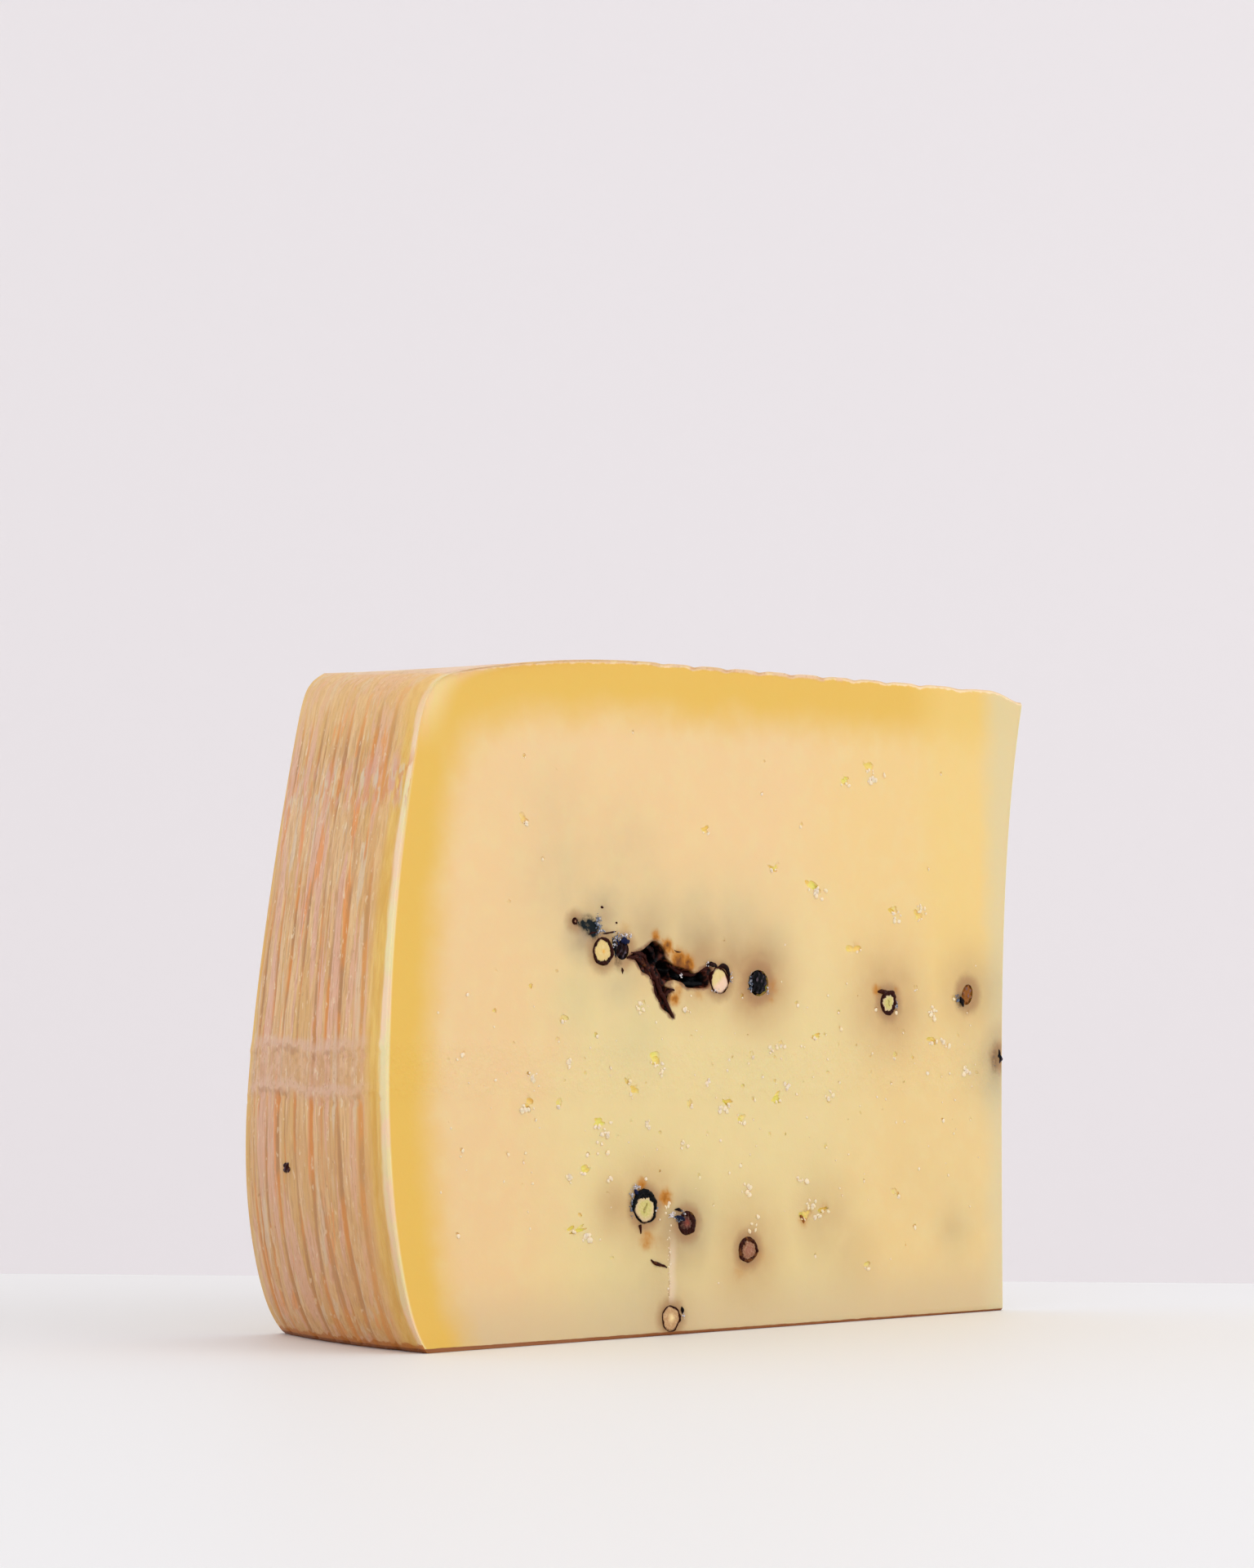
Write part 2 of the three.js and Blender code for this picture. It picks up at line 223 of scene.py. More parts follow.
def lip_heights(arc):
    """The two broken lips of the ring: wavering level lines."""
    low = RING_BREAK[0] + 0.5 * np.sin(arc / 7.3 + 2) + 0.2 * np.sin(arc / 2.3)
    high = RING_BREAK[1] + 0.4 * np.sin(arc / 6.1 + 1) + 0.2 * np.sin(arc / 2.7 + 2)
    return low, high


def groove_strength(arc, height):
    """The grooves are broken off between the lips, worn above them, run out below the rim and are
    deeper towards the base."""
    low, high = lip_heights(arc)
    between = smooth(height, low - 0.8, low + 0.8) * (1 - smooth(height, high - 0.8, high + 0.8))
    broken = between * (0.75 + 0.2 * np.sin(arc / 2.3))
    run_out = 0.9 * smooth(height, *GROOVE_ENDS)
    worn = 0.65 * bump(height - WORN_LEVEL, 8)
    return (1 - broken) * (1 - run_out) * (1 - worn) * (1.4 - 0.4 * smooth(height, 5, 32))


def groove_share(arc, height):
    """How deep in a groove a place on the heel is, from 0 on a rib to 1: the deepest of the bells
    round wavering upright lines, each stronger and weaker with the height as a slow sine."""
    share = np.zeros(np.broadcast(arc, height).shape)
    for index, (place, width, depth, low, high) in enumerate(GROOVES):
        waver = GROOVE_WANDER * np.sin(height / 17 + index * 2.1)
        waver = waver + 0.12 * np.sin(height / 3.7 + index)
        lives = smooth(height, low, low + 8) * (1 - smooth(height, high - 8, high))
        lives = lives * (0.74 + 0.26 * np.sin(height / (5 + index % 5) + index * 2.4))
        share = np.maximum(share, depth * lives * bump(arc - place - waver, width))
    return share * groove_strength(arc, height)


def heel_relief(arc, height):
    """Grooves cut into the side, and two crumbly lips, raised where a random field is high, with a
    gap under them where it is low."""
    relief = -GROOVE_DEPTH * groove_share(arc, height)
    spot = np.stack(np.broadcast_arrays(arc, 1.4 * height, 0.0), -1)
    crumble = ripple(spot, 3.6, 14, 71) + 0.7 * ripple(spot, 9.0, 10, 72) - 0.1
    for place in lip_heights(arc):
        off = height - place - 0.6 * crumble
        relief = relief + LIP_HEIGHT * smooth(crumble, -0.5, 0.5) * bump(off, LIP_WIDTH)
        relief = relief - 1.3 * LIP_HEIGHT * smooth(-crumble, 0.0, 0.8) * bump(off + 1.0, 0.6)
    return relief * smooth(arc, 0, 1.5)


def heel_point(arc, height, rise=0.0):
    """A place on the side: an arc from the near cut at the belly, a height, and a rise."""
    turn = NEAR_TURN - arc / BELLY_RADIUS
    radius = side_radius(height, arc / HEEL_ARC) + rise
    x = WHEEL_CENTRE[0] + radius * np.cos(turn)
    y = WHEEL_CENTRE[1] + radius * np.sin(turn)
    return np.stack(np.broadcast_arrays(x, y, height), axis=-1)


def ring_share(radius):
    """How deep in one of the top's ring grooves a place is: the eighth power of a cosine."""
    ring = np.abs(np.cos(math.pi * radius / RING_PITCH)) ** 8
    return ring * (1 - smooth(radius, CROWN_RADIUS, CROWN_RADIUS + 6))


def crown_height(point):
    """The top over a point: a low cone at the centre, a parabola falling to the rim, the ring
    grooves and the worn tip."""
    radius, across = wheel_place(point)
    inside = np.clip(1 - radius / CROWN_RADIUS, 0, None)
    outside = np.clip((radius - CROWN_RADIUS) / CROWN_WIDTH, 0, None)
    fall = NEAR_CROWN_FALL + (FAR_CROWN_FALL - NEAR_CROWN_FALL) * np.clip(across, 0, 1)
    ring = RING_DEPTH * ring_share(radius)
    tip = TIP_DROP * smooth(point[..., 0], -3, TIP_OVERHANG)
    return WHEEL_HEIGHT + CENTRE_RISE * inside - fall * outside**2 - ring - tip


# ---- Making meshes ----


def meet(low, high, gap, rounds=40):
    """Halves the interval until gap() changes sign, for arrays as for single numbers."""
    for _ in range(rounds):
        middle = (low + high) / 2
        above = gap(middle) > 0
        high = np.where(above, middle, high)
        low = np.where(above, low, middle)
    return (low + high) / 2


def evenly(curve, count, weight=1.0):
    """The same curve with its points at equal distances, or closer where the weight is more."""
    steps = np.linalg.norm(np.diff(curve, axis=0), axis=1) * weight
    walked = np.concatenate([[0], np.cumsum(steps)])
    wanted = np.linspace(0, walked[-1], count)
    return np.stack([np.interp(wanted, walked, line) for line in curve.T], axis=-1)


def flowing(corners, steps, closed=False):
    """A smooth curve through every corner (Catmull-Rom), with steps points to a stretch."""
    corners = np.array(corners, float)
    if closed:
        ring = np.concatenate([corners[-1:], corners, corners[:2]])
    else:
        ring = np.concatenate([corners[:1], corners, corners[-1:]])
    a, b, c, d = ring[:-3, None], ring[1:-2, None], ring[2:-1, None], ring[3:, None]
    t = np.linspace(0, 1, steps, endpoint=False)[None, :, None]
    curve = b + (c - a) * t / 2 + (2 * a - 5 * b + 4 * c - d) * t**2 / 2
    curve = (curve + (3 * b - a - 3 * c + d) * t**3 / 2).reshape(-1, corners.shape[1])
    return curve if closed else np.concatenate([curve, corners[-1:]])


def coons(start, end, low, high):
    """Blends four edge curves into a surface: the sum of the two ruled surfaces between opposite
    edges, less the bilinear surface through the corners. start and end run with low's and high's
    second index; low and high run with the first."""
    u = np.linspace(0, 1, len(low))[:, None, None]
    v = np.linspace(0, 1, len(start))[None, :, None]
    ruled = (1 - u) * start[None] + u * end[None] + (1 - v) * low[:, None] + v * high[:, None]
    corners = (1 - u) * (1 - v) * low[0] + u * (1 - v) * low[-1]
    corners = corners + (1 - u) * v * high[0] + u * v * high[-1]
    return ruled - corners


class Skin:
    """Gathers grids of points and closes the strips between their edges."""

    def __init__(self):
        self.points = []
        self.triangles = []
        self.count = 0

    def grid(self, points):
        """Adds a grid and returns the numbers of its points."""
        rows, columns = points.shape[:2]
        numbers = self.count + np.arange(rows * columns).reshape(rows, columns)
        self.points.append(points.reshape(-1, 3))
        self.count += rows * columns
        a, b = numbers[:-1, :-1].ravel(), numbers[1:, :-1].ravel()
        c, d = numbers[1:, 1:].ravel(), numbers[:-1, 1:].ravel()
        self.triangles += [np.stack([a, b, c], 1), np.stack([a, c, d], 1)]
        return numbers

    def zip(self, first, second):
        """Closes the strip between two rows of points: walking both rows together, each step
        makes one triangle with the point reached in the other row."""
        middles = [(np.arange(len(row) - 1) + 0.5) / (len(row) - 1) for row in (first, second)]
        order = np.argsort(np.concatenate(middles), kind="stable")
        on_first = order < len(middles[0])
        i = np.cumsum(on_first) - on_first
        j = np.cumsum(~on_first) - ~on_first
        third = np.where(on_first, first[np.minimum(i + 1, len(first) - 1)],
                         second[np.minimum(j + 1, len(second) - 1)])
        self.triangles.append(np.stack([first[i], second[j], third], 1))

    def corner(self, a, b, c):
        """Closes the last triangle where three surfaces meet."""
        self.triangles.append(np.array([[a, b, c]]))

    def mesh(self, name):
        return mesh_of(name, np.concatenate(self.points), np.concatenate(self.triangles))


def mesh_of(name, points, triangles):
    """A closed mesh with its faces turned outwards."""
    mesh = bpy.data.meshes.new(name)
    mesh.from_pydata(points.tolist(), [], triangles.tolist())
    work = bmesh.new()
    work.from_mesh(mesh)
    bmesh.ops.recalc_face_normals(work, faces=work.faces)
    work.to_mesh(mesh)
    work.free()
    return mesh


def shown(name, data):
    """A mesh, camera or lamp put into the scene."""
    piece = bpy.data.objects.new(name, data)
    bpy.context.scene.collection.objects.link(piece)
    return piece


def places(mesh):
    """The places of a mesh's vertices."""
    points = np.empty(len(mesh.vertices) * 3, np.float32)
    mesh.vertices.foreach_get("co", points)
    return points.reshape(-1, 3).astype(float)


def note(mesh, **numbers):
    """Stores numbers at the vertices, each list under its name, for the materials to read."""
    for name, values in numbers.items():
        layer = mesh.attributes.new(name, "FLOAT", "POINT")
        layer.data.foreach_set("value", np.asarray(values, np.float32))


def settle(piece, sharp=EDGE_TURN):
    """Moves a finished piece from the tip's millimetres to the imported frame's metres."""
    mesh = piece.data
    points = (places(mesh) + TIP_FROM_MIDDLE) * 0.001
    mesh.vertices.foreach_set("co", points.astype(np.float32).ravel())
    mesh.shade_smooth()
    mesh.set_sharp_from_angle(angle=math.radians(sharp))
    mesh.update()
    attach(piece, "root")
    return piece


def finished(name, parts, slot, **notes):
    """A piece from several lots of points and triangles, with a list of notes for each lot."""
    shift = np.cumsum([0] + [len(points) for points, _ in parts[:-1]])
    points = np.concatenate([points for points, _ in parts])
    triangles = np.concatenate([part + step for (_, part), step in zip(parts, shift)])
    piece = shown(name, mesh_of(name, points, triangles))
    note(piece.data, **{key: np.concatenate(lots) for key, lots in notes.items()})
    return settle(piece, SMALL_EDGE_TURN)


def ripple(points, pitch, count, seed):
    """A smooth random field near -1 to 1: the mean of plane waves in random directions."""
    draw = np.random.default_rng(seed)
    ways = draw.normal(size=(count, 3))
    ways *= TURN / (pitch * np.linalg.norm(ways, axis=1, keepdims=True))
    turns = draw.uniform(0, TURN, count)
    return np.sin(points @ ways.T + turns).mean(-1) * math.sqrt(count) / 2


# ---- The wedge ----


def heel_reach(cut, height):
    """Where a cut face meets the side at a height."""
    low, high = np.full_like(height, 120.0), np.full_like(height, 170.0)

    def gap(reach):
        radius, across = wheel_place(cut(reach, height))
        return radius - side_radius(height, across)

    return meet(low, high, gap)


def cut_grid(side, columns, rows):
    """A cut face: a blend of the tip edge, the heel edge, the base edge and the top edge, all drawn
    in by the bevel. The first index runs from the tip to the heel, the second upwards."""
    cut = CUTS[side]
    tip_reach = (lambda height: -lean(height)) if side == "near" else (lambda height: 0 * height)
    tip_top = meet(110.0, 125.0, lambda h: h - crown_height(cut(tip_reach(h), h)))
    heel_top = meet(100.0, 125.0, lambda h: h - crown_height(cut(heel_reach(cut, h), h)))

    tip_heights = np.linspace(EDGE, tip_top - EDGE, rows)
    tip_edge = np.stack([tip_reach(tip_heights) + EDGE, tip_heights], -1)
    fine = np.linspace(EDGE, heel_top - EDGE, FINE_STEPS)
    heel_edge = evenly(np.stack([heel_reach(cut, fine) - EDGE, fine], -1), rows)
    base_reach = np.linspace(tip_edge[0, 0], heel_edge[0, 0], columns)
    base_edge = np.stack([base_reach, np.full(columns, EDGE)], -1)
    top_reach = np.linspace(tip_edge[-1, 0], heel_edge[-1, 0], columns)
    top = crown_height(cut(top_reach, np.full(columns, WHEEL_HEIGHT)))
    nicks = ripple(np.stack([top_reach, 0 * top, 0 * top], -1), 3.0, 16, 9)
    top_edge = np.stack([top_reach, top - EDGE - 0.22 * smooth(nicks, 0.0, 0.9)], -1)

    grid = coons(tip_edge, heel_edge, base_edge, top_edge)
    inner = smooth(grid[..., 0], 2, 10) * smooth(grid[..., 1], 1, 6)
    flat = cut(grid[..., 0], grid[..., 1])
    knife = 0.05 * ripple(flat, 16, 10, 5) + 0.03 * ripple(flat * [1, 1, 0.25], 5, 10, 6)
    return cut(grid[..., 0], grid[..., 1], knife * inner)


def heel_grid(columns, rows):
    """The side: arcs from the near cut to the far one, each rising from the base to the rim."""
    arcs = np.linspace(EDGE, HEEL_ARC - EDGE, columns)
    tops = meet(np.full(columns, 100.0), np.full(columns, 125.0),
                lambda h: h - crown_height(heel_point(arcs, h)))
    fine = np.linspace(EDGE, tops.mean() - EDGE, FINE_STEPS)
    weight = 1 + 1.8 * bump(fine[1:] - np.mean(RING_BREAK), 7)
    profile = evenly(np.stack([side_radius(fine, 0.5), fine], -1), rows, weight)[:, 1]
    share = (profile - profile[0]) / (profile[-1] - profile[0])
    heights = EDGE + share[None] * (tops - 2 * EDGE)[:, None]
    arcs = np.broadcast_to(arcs[:, None], heights.shape)
    point = heel_point(arcs, heights)
    grain = 0.06 * ripple(point, 2.4, 24, 11) + 0.1 * ripple(point * [1, 1, 0.3], 5, 24, 12)
    inner = smooth(arcs, 0.5, 3) * smooth(HEEL_ARC - arcs, 0.5, 3)
    return heel_point(arcs, heights, heel_relief(arcs, heights) + grain * inner)


def tip_grid(columns, heights):
    """The blunt tip: level lines from the near cut to the far one, bowed out by a half sine."""
    near = near_face(-lean(heights), heights, -0.3)
    far = far_face(0 * heights, heights, -0.3)
    across = np.linspace(0, 1, columns)[:, None, None]
    bow = 0.35 * np.sin(math.pi * across) * np.array([1.0, 0, 0])
    return (1 - across) * near[None] + across * far[None] + bow


def inwards(points, amount):
    """Moves points towards the middle of the wedge in plan."""
    way = MIDDLE - points[..., :2]
    way /= np.linalg.norm(way, axis=-1, keepdims=True)
    moved = points.copy()
    moved[..., :2] += way * amount
    return moved


def wedge_mesh():
    """Six grids, one to a surface, with the bevels and the corners closed between them. The top and
    the base are blends in plan of their four edges, drawn in a little, at the surface's height."""
    near, far = cut_grid("near", *NEAR_GRID), cut_grid("far", *FAR_GRID)
    heel = heel_grid(*HEEL_GRID)
    tip = tip_grid(TIP_COLUMNS, near[0, :, 2])

    def lid(level, along, across, height_of):
        edges = ((tip, across, LID_TIP_EDGE), (heel, across, LID_EDGE), (near, along, LID_EDGE),
                 (far, along, LID_EDGE))
        grid = coons(*[inwards(evenly(side[:, level], count), amount)
                       for side, count, amount in edges])
        grid[..., 2] = height_of(grid)
        return grid

    top = lid(-1, *TOP_GRID, crown_height)
    base = lid(0, *BASE_GRID, lambda grid: 0.0)

    skin = Skin()
    n, f, h, p, c, b = [skin.grid(grid) for grid in (near, far, heel, tip, top, base)]
    for first, second in ((n[-1], h[0]), (f[-1], h[-1]), (n[0], p[0]), (f[0], p[-1]),
                          (n[:, -1], c[:, 0]), (f[:, -1], c[:, -1]), (n[:, 0], b[:, 0]),
                          (f[:, 0], b[:, -1]), (h[:, -1], c[-1]), (h[:, 0], b[-1]),
                          (p[:, -1], c[0]), (p[:, 0], b[0])):
        skin.zip(first, second)
    for end, side in ((-1, h), (0, p)):
        for level, cover in ((-1, c), (0, b)):
            skin.corner(n[end, level], side[0, level], cover[end, 0])
            skin.corner(f[end, level], side[-1, level], cover[end, -1])
    return skin.mesh("pecorino_wedge_dressed")


# ---- Lumps: eyes, pits, grains and crumbs ----


def ball(detail):
    """The points and triangles of a round ball of radius 1."""
    work = bmesh.new()
    bmesh.ops.create_icosphere(work, subdivisions=detail, radius=1)
    work.verts.ensure_lookup_table()
    points = np.array([vertex.co[:] for vertex in work.verts])
    triangles = np.array([[vertex.index for vertex in face.verts] for face in work.faces])
    work.free()
    return points, triangles


def lumps(centres, axes, sizes, detail, unevenness, seed, waves=6, pitch=2.0):
    """Uneven balls, as points (lump, vertex, 3) and triangles. Each is a unit ball swollen by the
    mean of a few random waves, stretched to its half sizes and turned to its axes."""
    draw = np.random.default_rng(seed)
    points, triangles = ball(detail)
    count = len(centres)
    ways = draw.normal(size=(count, waves, 3)) * pitch
    turns = draw.uniform(0, TURN, (count, waves, 1))
    swell = np.sin(ways @ points.T + turns).mean(1) * math.sqrt(waves)
    local = points[None] * (1 + unevenness * swell[..., None]) * sizes[:, None]
    placed = local @ axes + centres[:, None]
    shift = np.arange(count)[:, None, None] * len(points)
    return placed, (triangles[None] + shift).reshape(-1, 3)


def spun(axes, angles):
    """The axes turned about the way out of the face, one turn to each lump."""
    along, out, up = axes
    cosine, sine = np.cos(angles)[:, None], np.sin(angles)[:, None]
    return np.stack([cosine * along + sine * up, out + 0 * sine, cosine * up - sine * along], 1)


def cutter_of(points, triangles):
    """A shape for carve() to cut out."""
    return shown("cutter", mesh_of("cutter", points.reshape(-1, 3), triangles))


# Eyes: reach, height, width and tall.
NEAR_EYES = (
    (38.8, 104.2, 3.8, 2.0), (45.5, 101.3, 2.6, 1.5), (128.3, 90.7, 1.8, 1.6),
    (83.3, 90.8, 2.6, 1.5), (54.4, 81.2, 3.6, 1.7), (64.8, 84.3, 2.6, 1.1), (31.4, 77.4, 2.8, 1.7),
    (24.3, 76.4, 2.8, 2.2), (43.0, 69.9, 3.8, 1.5), (118.4, 56.3, 1.9, 1.7), (96.1, 49.4, 2.6, 2.2),
    (102.9, 45.8, 1.8, 1.8), (101.3, 43.6, 2.4, 1.2), (76.6, 41.3, 3.4, 1.3),
    (64.2, 41.9, 3.6, 1.5), (86.9, 41.3, 1.5, 1.5), (126.6, 41.3, 2.8, 1.8),
    (119.6, 41.6, 1.6, 1.8), (110.3, 38.1, 3.0, 1.6), (73.8, 38.2, 2.0, 1.4),
    (114.0, 30.0, 3.0, 1.4), (115.6, 19.5, 4.4, 1.2), (56.6, 20.6, 2.8, 2.2),
    (51.2, 21.2, 3.4, 1.0), (20.6, 52.7, 2.8, 1.3), (31.4, 49.6, 1.5, 1.2), (53.8, 53.2, 2.6, 0.9),
    (62.9, 52.0, 1.5, 1.2), (71.0, 49.9, 1.5, 1.2), (31.5, 23.6, 2.0, 1.6), (39.8, 10.2, 1.6, 1.1),
    (25.6, 62.4, 1.2, 1.0),
)

# The torn hollow's outline, round from the end of its left arm: reach and height.
HOLLOW_EDGE = (
    (102.8, 67.1), (100.9, 68.1), (99.2, 68.5), (97.7, 69.3), (96.2, 70.2), (94.5, 69.6),
    (93.3, 68.5), (92.9, 67.2), (91, 66), (88.8, 65.5), (87, 65.2), (85.6, 64.5), (83, 65.7),
    (81.9, 65.7), (81.2, 65.1), (81.6, 63.8), (82, 62.3), (83.4, 61.8), (85.9, 61.8), (87.8, 61.9),
    (88.8, 62.7), (91, 63.2), (92.6, 62.8), (93.1, 62.2), (92, 61.8), (91.1, 61.5), (91.6, 61),
    (92.3, 60.6), (92.6, 59.2), (91.9, 57.7), (91, 56.5), (91.6, 56.4), (92.4, 57.2), (94.2, 58.2),
    (94.9, 59.4), (96, 60.7), (96.3, 62.2), (97.4, 63.9), (99.2, 64.6), (100.2, 65.9),
    (101.3, 66.9),
)
# Its deep places: reach, height, spread and depth. Elsewhere it is only skin deep.
HOLLOW_POCKETS = (
    (95.7, 68.4, 2.2, 4.6), (92.6, 65.4, 2.0, 3.6), (89.6, 64.3, 1.7, 3.6), (86.4, 63.5, 2.0, 4.2),
    (83.4, 63.6, 1.5, 3.2), (94.6, 61.6, 1.4, 1.6),
)
HOLLOW_SKIN = 1.0
HOLLOW_BOX = ((80, 104, 116), (55, 71.6, 84))  # reach and height: from, to, how many points
PIT_GAP = 2.6  # the least distance between two pits


def inside_hollow(reach, height):
    """How far a place lies inside the hollow's outline; less than 0 outside it."""
    place = np.stack([reach, height], -1)
    edge = flowing(HOLLOW_EDGE, 3, closed=True)
    nearest = np.full(reach.shape, 99.0)
    within = np.zeros(reach.shape, bool)
    for start, step in zip(edge, np.roll(edge, -1, 0) - edge):
        off = place - start
        along = np.clip(off @ step / (step @ step), 0, 1)[..., None]
        nearest = np.minimum(nearest, np.linalg.norm(off - along * step, axis=-1))
        level = (off[..., 1] >= 0) != (off[..., 1] >= step[1])
        within ^= level & (off[..., 0] < step[0] * off[..., 1] / (step[1] or 1))
    return np.where(within, nearest, -nearest)


def hollow_cutter():
    """A slab over the near face whose underside dips into the cheese inside the outline: with a
    steep wall, by the depth of the pockets, and wrinkled by folded waves."""
    reach, height = np.meshgrid(*[np.linspace(*span) for span in HOLLOW_BOX], indexing="ij")
    inside = inside_hollow(reach, height)
    deep = HOLLOW_SKIN
    for s, z, spread, depth in HOLLOW_POCKETS:
        deep = np.maximum(deep, depth * bump(np.hypot(reach - s, height - z), spread))
    flat = near_face(reach, height)
    folds = np.abs(ripple(flat, 1.7, 12, 61)) - 0.4 + 0.5 * ripple(flat, 0.9, 12, 62)
    wall = 1 - np.exp(-np.clip(inside, 0, None) / 0.4)
    under = np.where(inside < 0, np.minimum(0.5, -inside), -wall * (deep + 0.5 * folds))
    skin = Skin()
    low, high = [skin.grid(near_face(reach, height, rise)) for rise in (under, 1.5)]
    for edge in (0, -1):
        skin.zip(low[edge], high[edge])
    for edge in (0, -1):
        skin.zip(low[:, edge], high[:, edge])
    return shown("hollow", skin.mesh("hollow"))


def eye_cutters(side, eyes, seed):
    """Ragged eyes: three lumps to each, set off from its middle, in three meshes of lumps apart."""
    eyes = np.array(eyes)
    draw = np.random.default_rng(seed)
    cutters = []
    for turn in range(3):
        off = draw.uniform(-0.3, 0.3, (len(eyes), 2)) * eyes[:, 2:4]
        half = eyes[:, 2:4] * draw.uniform(0.25, 0.45, (len(eyes), 2))
        centres = CUTS[side](eyes[:, 0] + off[:, 0], eyes[:, 1] + off[:, 1], 0.05)
        axes = spun(FACE_AXES[side], draw.uniform(-0.7, 0.7, len(eyes)))
        sizes = np.stack([half[:, 0], np.clip(half.max(1) * 0.45, 0.15, 0.55), half[:, 1]], -1)
        cutters.append(cutter_of(*lumps(centres, axes, sizes, 3, 0.3, seed + turn)))
    return cutters


def fine_pits(side, count, eyes, grains, seed):
    """Small pits, reach, height, width and tall, thickest in a belt at mid height: drawn one by one
    and kept where they are clear of each other, the eyes, the grains and the hollow."""
    taken = [np.array(row[:2]) for row in (*eyes, *grains)]
    if side == "near":
        taken += list(flowing(HOLLOW_EDGE, 1, closed=True))
    draw = np.random.default_rng(seed)
    pits = []
    while len(pits) < count:
        height = draw.normal(44, 11) if draw.random() < 0.7 else draw.uniform(5, 108)
        size = draw.uniform(0.5, 1.2)
        place = np.array([draw.uniform(6, 148), np.clip(height, 4, 110)])
        shape = [size, size * draw.uniform(0.5, 1)]
        if np.min(np.hypot(*(np.array(taken) - place).T)) > PIT_GAP:
            taken.append(place)
            pits.append([*place, *shape])
    return np.array(pits)


def pit_cutter(side, pits, seed):
    """Small pits: an uneven lump to each, a little over a quarter as deep as it is tall."""
    axes = spun(FACE_AXES[side], np.random.default_rng(seed).uniform(-0.8, 0.8, len(pits)))
    sizes = np.stack([pits[:, 2] / 2, pits[:, 3] * 0.28, pits[:, 3] / 2], -1)
    return cutter_of(*lumps(CUTS[side](pits[:, 0], pits[:, 1]), axes, sizes, 1, 0.3, seed))


def drop_chips(mesh):
    """Deletes what cutting leaves loose: each vertex takes the lowest number among those it is
    joined to until none changes, and the commonest number is kept."""
    ends = np.empty(len(mesh.edges) * 2, np.int32)
    mesh.edges.foreach_get("vertices", ends)
    start, end = ends.reshape(-1, 2).T
    label, last = np.arange(len(mesh.vertices)), None
    while last is None or (label != last).any():
        last = label.copy()
        np.minimum.at(label, start, last[end])
        np.minimum.at(label, end, last[start])
        label = label[label]
    work = bmesh.new()
    work.from_mesh(mesh)
    work.verts.ensure_lookup_table()
    loose = [work.verts[index] for index in np.flatnonzero(label != np.bincount(label).argmax())]
    bmesh.ops.delete(work, geom=loose, context="VERTS")
    work.to_mesh(mesh)
    work.free()


def carve(piece, cutters):
    """Cuts every cutter out of a piece and deletes the cutters."""
    group = bpy.data.collections.new("cutters")
    for cutter in cutters:
        group.objects.link(cutter)
    cut = piece.modifiers.new("carve", "BOOLEAN")
    cut.operation = "DIFFERENCE"
    cut.operand_type = "COLLECTION"
    cut.collection = group
    cut.solver = "MANIFOLD"
    evaluated = piece.evaluated_get(bpy.context.evaluated_depsgraph_get())
    carved = bpy.data.meshes.new_from_object(evaluated)
    piece.modifiers.clear()
    drop_chips(carved)
    piece.data = carved
    for cutter in cutters:
        bpy.data.objects.remove(cutter)
    bpy.data.collections.remove(group)


# ---- Peppercorns ----

# Sliced grains: reach, height, width, tall and tilt in degrees; the husk's thickness, its thick
# side in degrees (0 towards the heel, 90 up) and how uneven it is; the tones of core and husk; and
# the side and size of the outline's point. Tones run from 0, pale or blue-black, to 1, brown.
NEAR_SLICED = (
    (108.8, 68.1, 5.0, 5.2, 4, 0.72, 205, 0.40, 0.05, 0.60, 0, 0),
    (79.5, 63.2, 4.8, 4.6, 20, 0.24, 45, 1.0, -0.25, 0.75, 80, 0.14),
    (33.3, 59.5, 4.7, 4.8, -8, 1.05, 170, 0.22, 0.40, 0.80, 135, 0.12),
    (98.4, 22.9, 6.1, 5.9, -5, 0.85, 110, 0.72, 0.30, 0.10, 0, 0),
    (87.8, 19.7, 4.7, 4.5, 0, 1.20, 200, 0.30, 1.00, 0.62, 0, 0),
    (72.0, 14.4, 5.1, 4.7, 0, 0.90, 30, 0.25, 0.76, 1.10, -150, 0.05),
    (91.9, 3.1, 4.8, 4.2, 5, 0.20, 150, 0.95, 0.60, 0.90, -90, 0.17),
    (115.8, 73.3, 1.3, 1.3, 0, 0.45, 0, 0.20, 0.76, 0.95, 0, 0),
)
# Whole grains: reach, height, width, tall, tilt, how far each stands out, husk tone (up to 1.5, a
# lighter brown).
NEAR_WHOLE = (
    (104.1, 68.4, 4.3, 4.8, 4, 0.55, 0.35),
    (69.1, 62.9, 5.9, 5.5, 0, 0.95, -0.10),
    (10.3, 61.3, 4.2, 5.8, 20, 0.50, 1.45),
    (0.6, 49.2, 2.0, 4.8, -12, 0.50, 0.10),
)
FAR_SLICED = (
    (121, 66.5, 4.8, 4.6, 10, 0.50, 80, 0.5, 0.2, 0.7, 0, 0),
    (90.5, 69.5, 4.4, 4.5, 0, 0.60, 10, 0.4, 0.6, 0.8, 40, 0.1),
    (58, 64.5, 5.0, 4.8, -12, 0.70, 200, 0.4, 0.1, 0.4, 0, 0),
    (104, 24.5, 5.1, 5.0, 0, 0.80, -30, 0.5, 0.35, 0.2, 0, 0),
    (76, 17, 4.7, 4.5, 15, 0.60, 60, 0.4, 0.85, 0.8, 120, 0.1),
    (69.5, 19.5, 4.5, 4.6, 0, 0.75, 160, 0.3, 0.5, 0.7, 0, 0),
    (30, 27, 5.0, 4.8, 0, 0.60, 100, 0.5, 0.1, 0.6, -90, 0.12),
)
FAR_WHOLE = (
    (96.5, 71, 5.2, 5.0, 0, 0.9, 0.2),
    (37.5, 70, 4.6, 4.5, 10, 0.8, 0.5),
)
HEEL_GRAIN_ARC = 34.5
HEEL_GRAIN_HEIGHT = 30.3
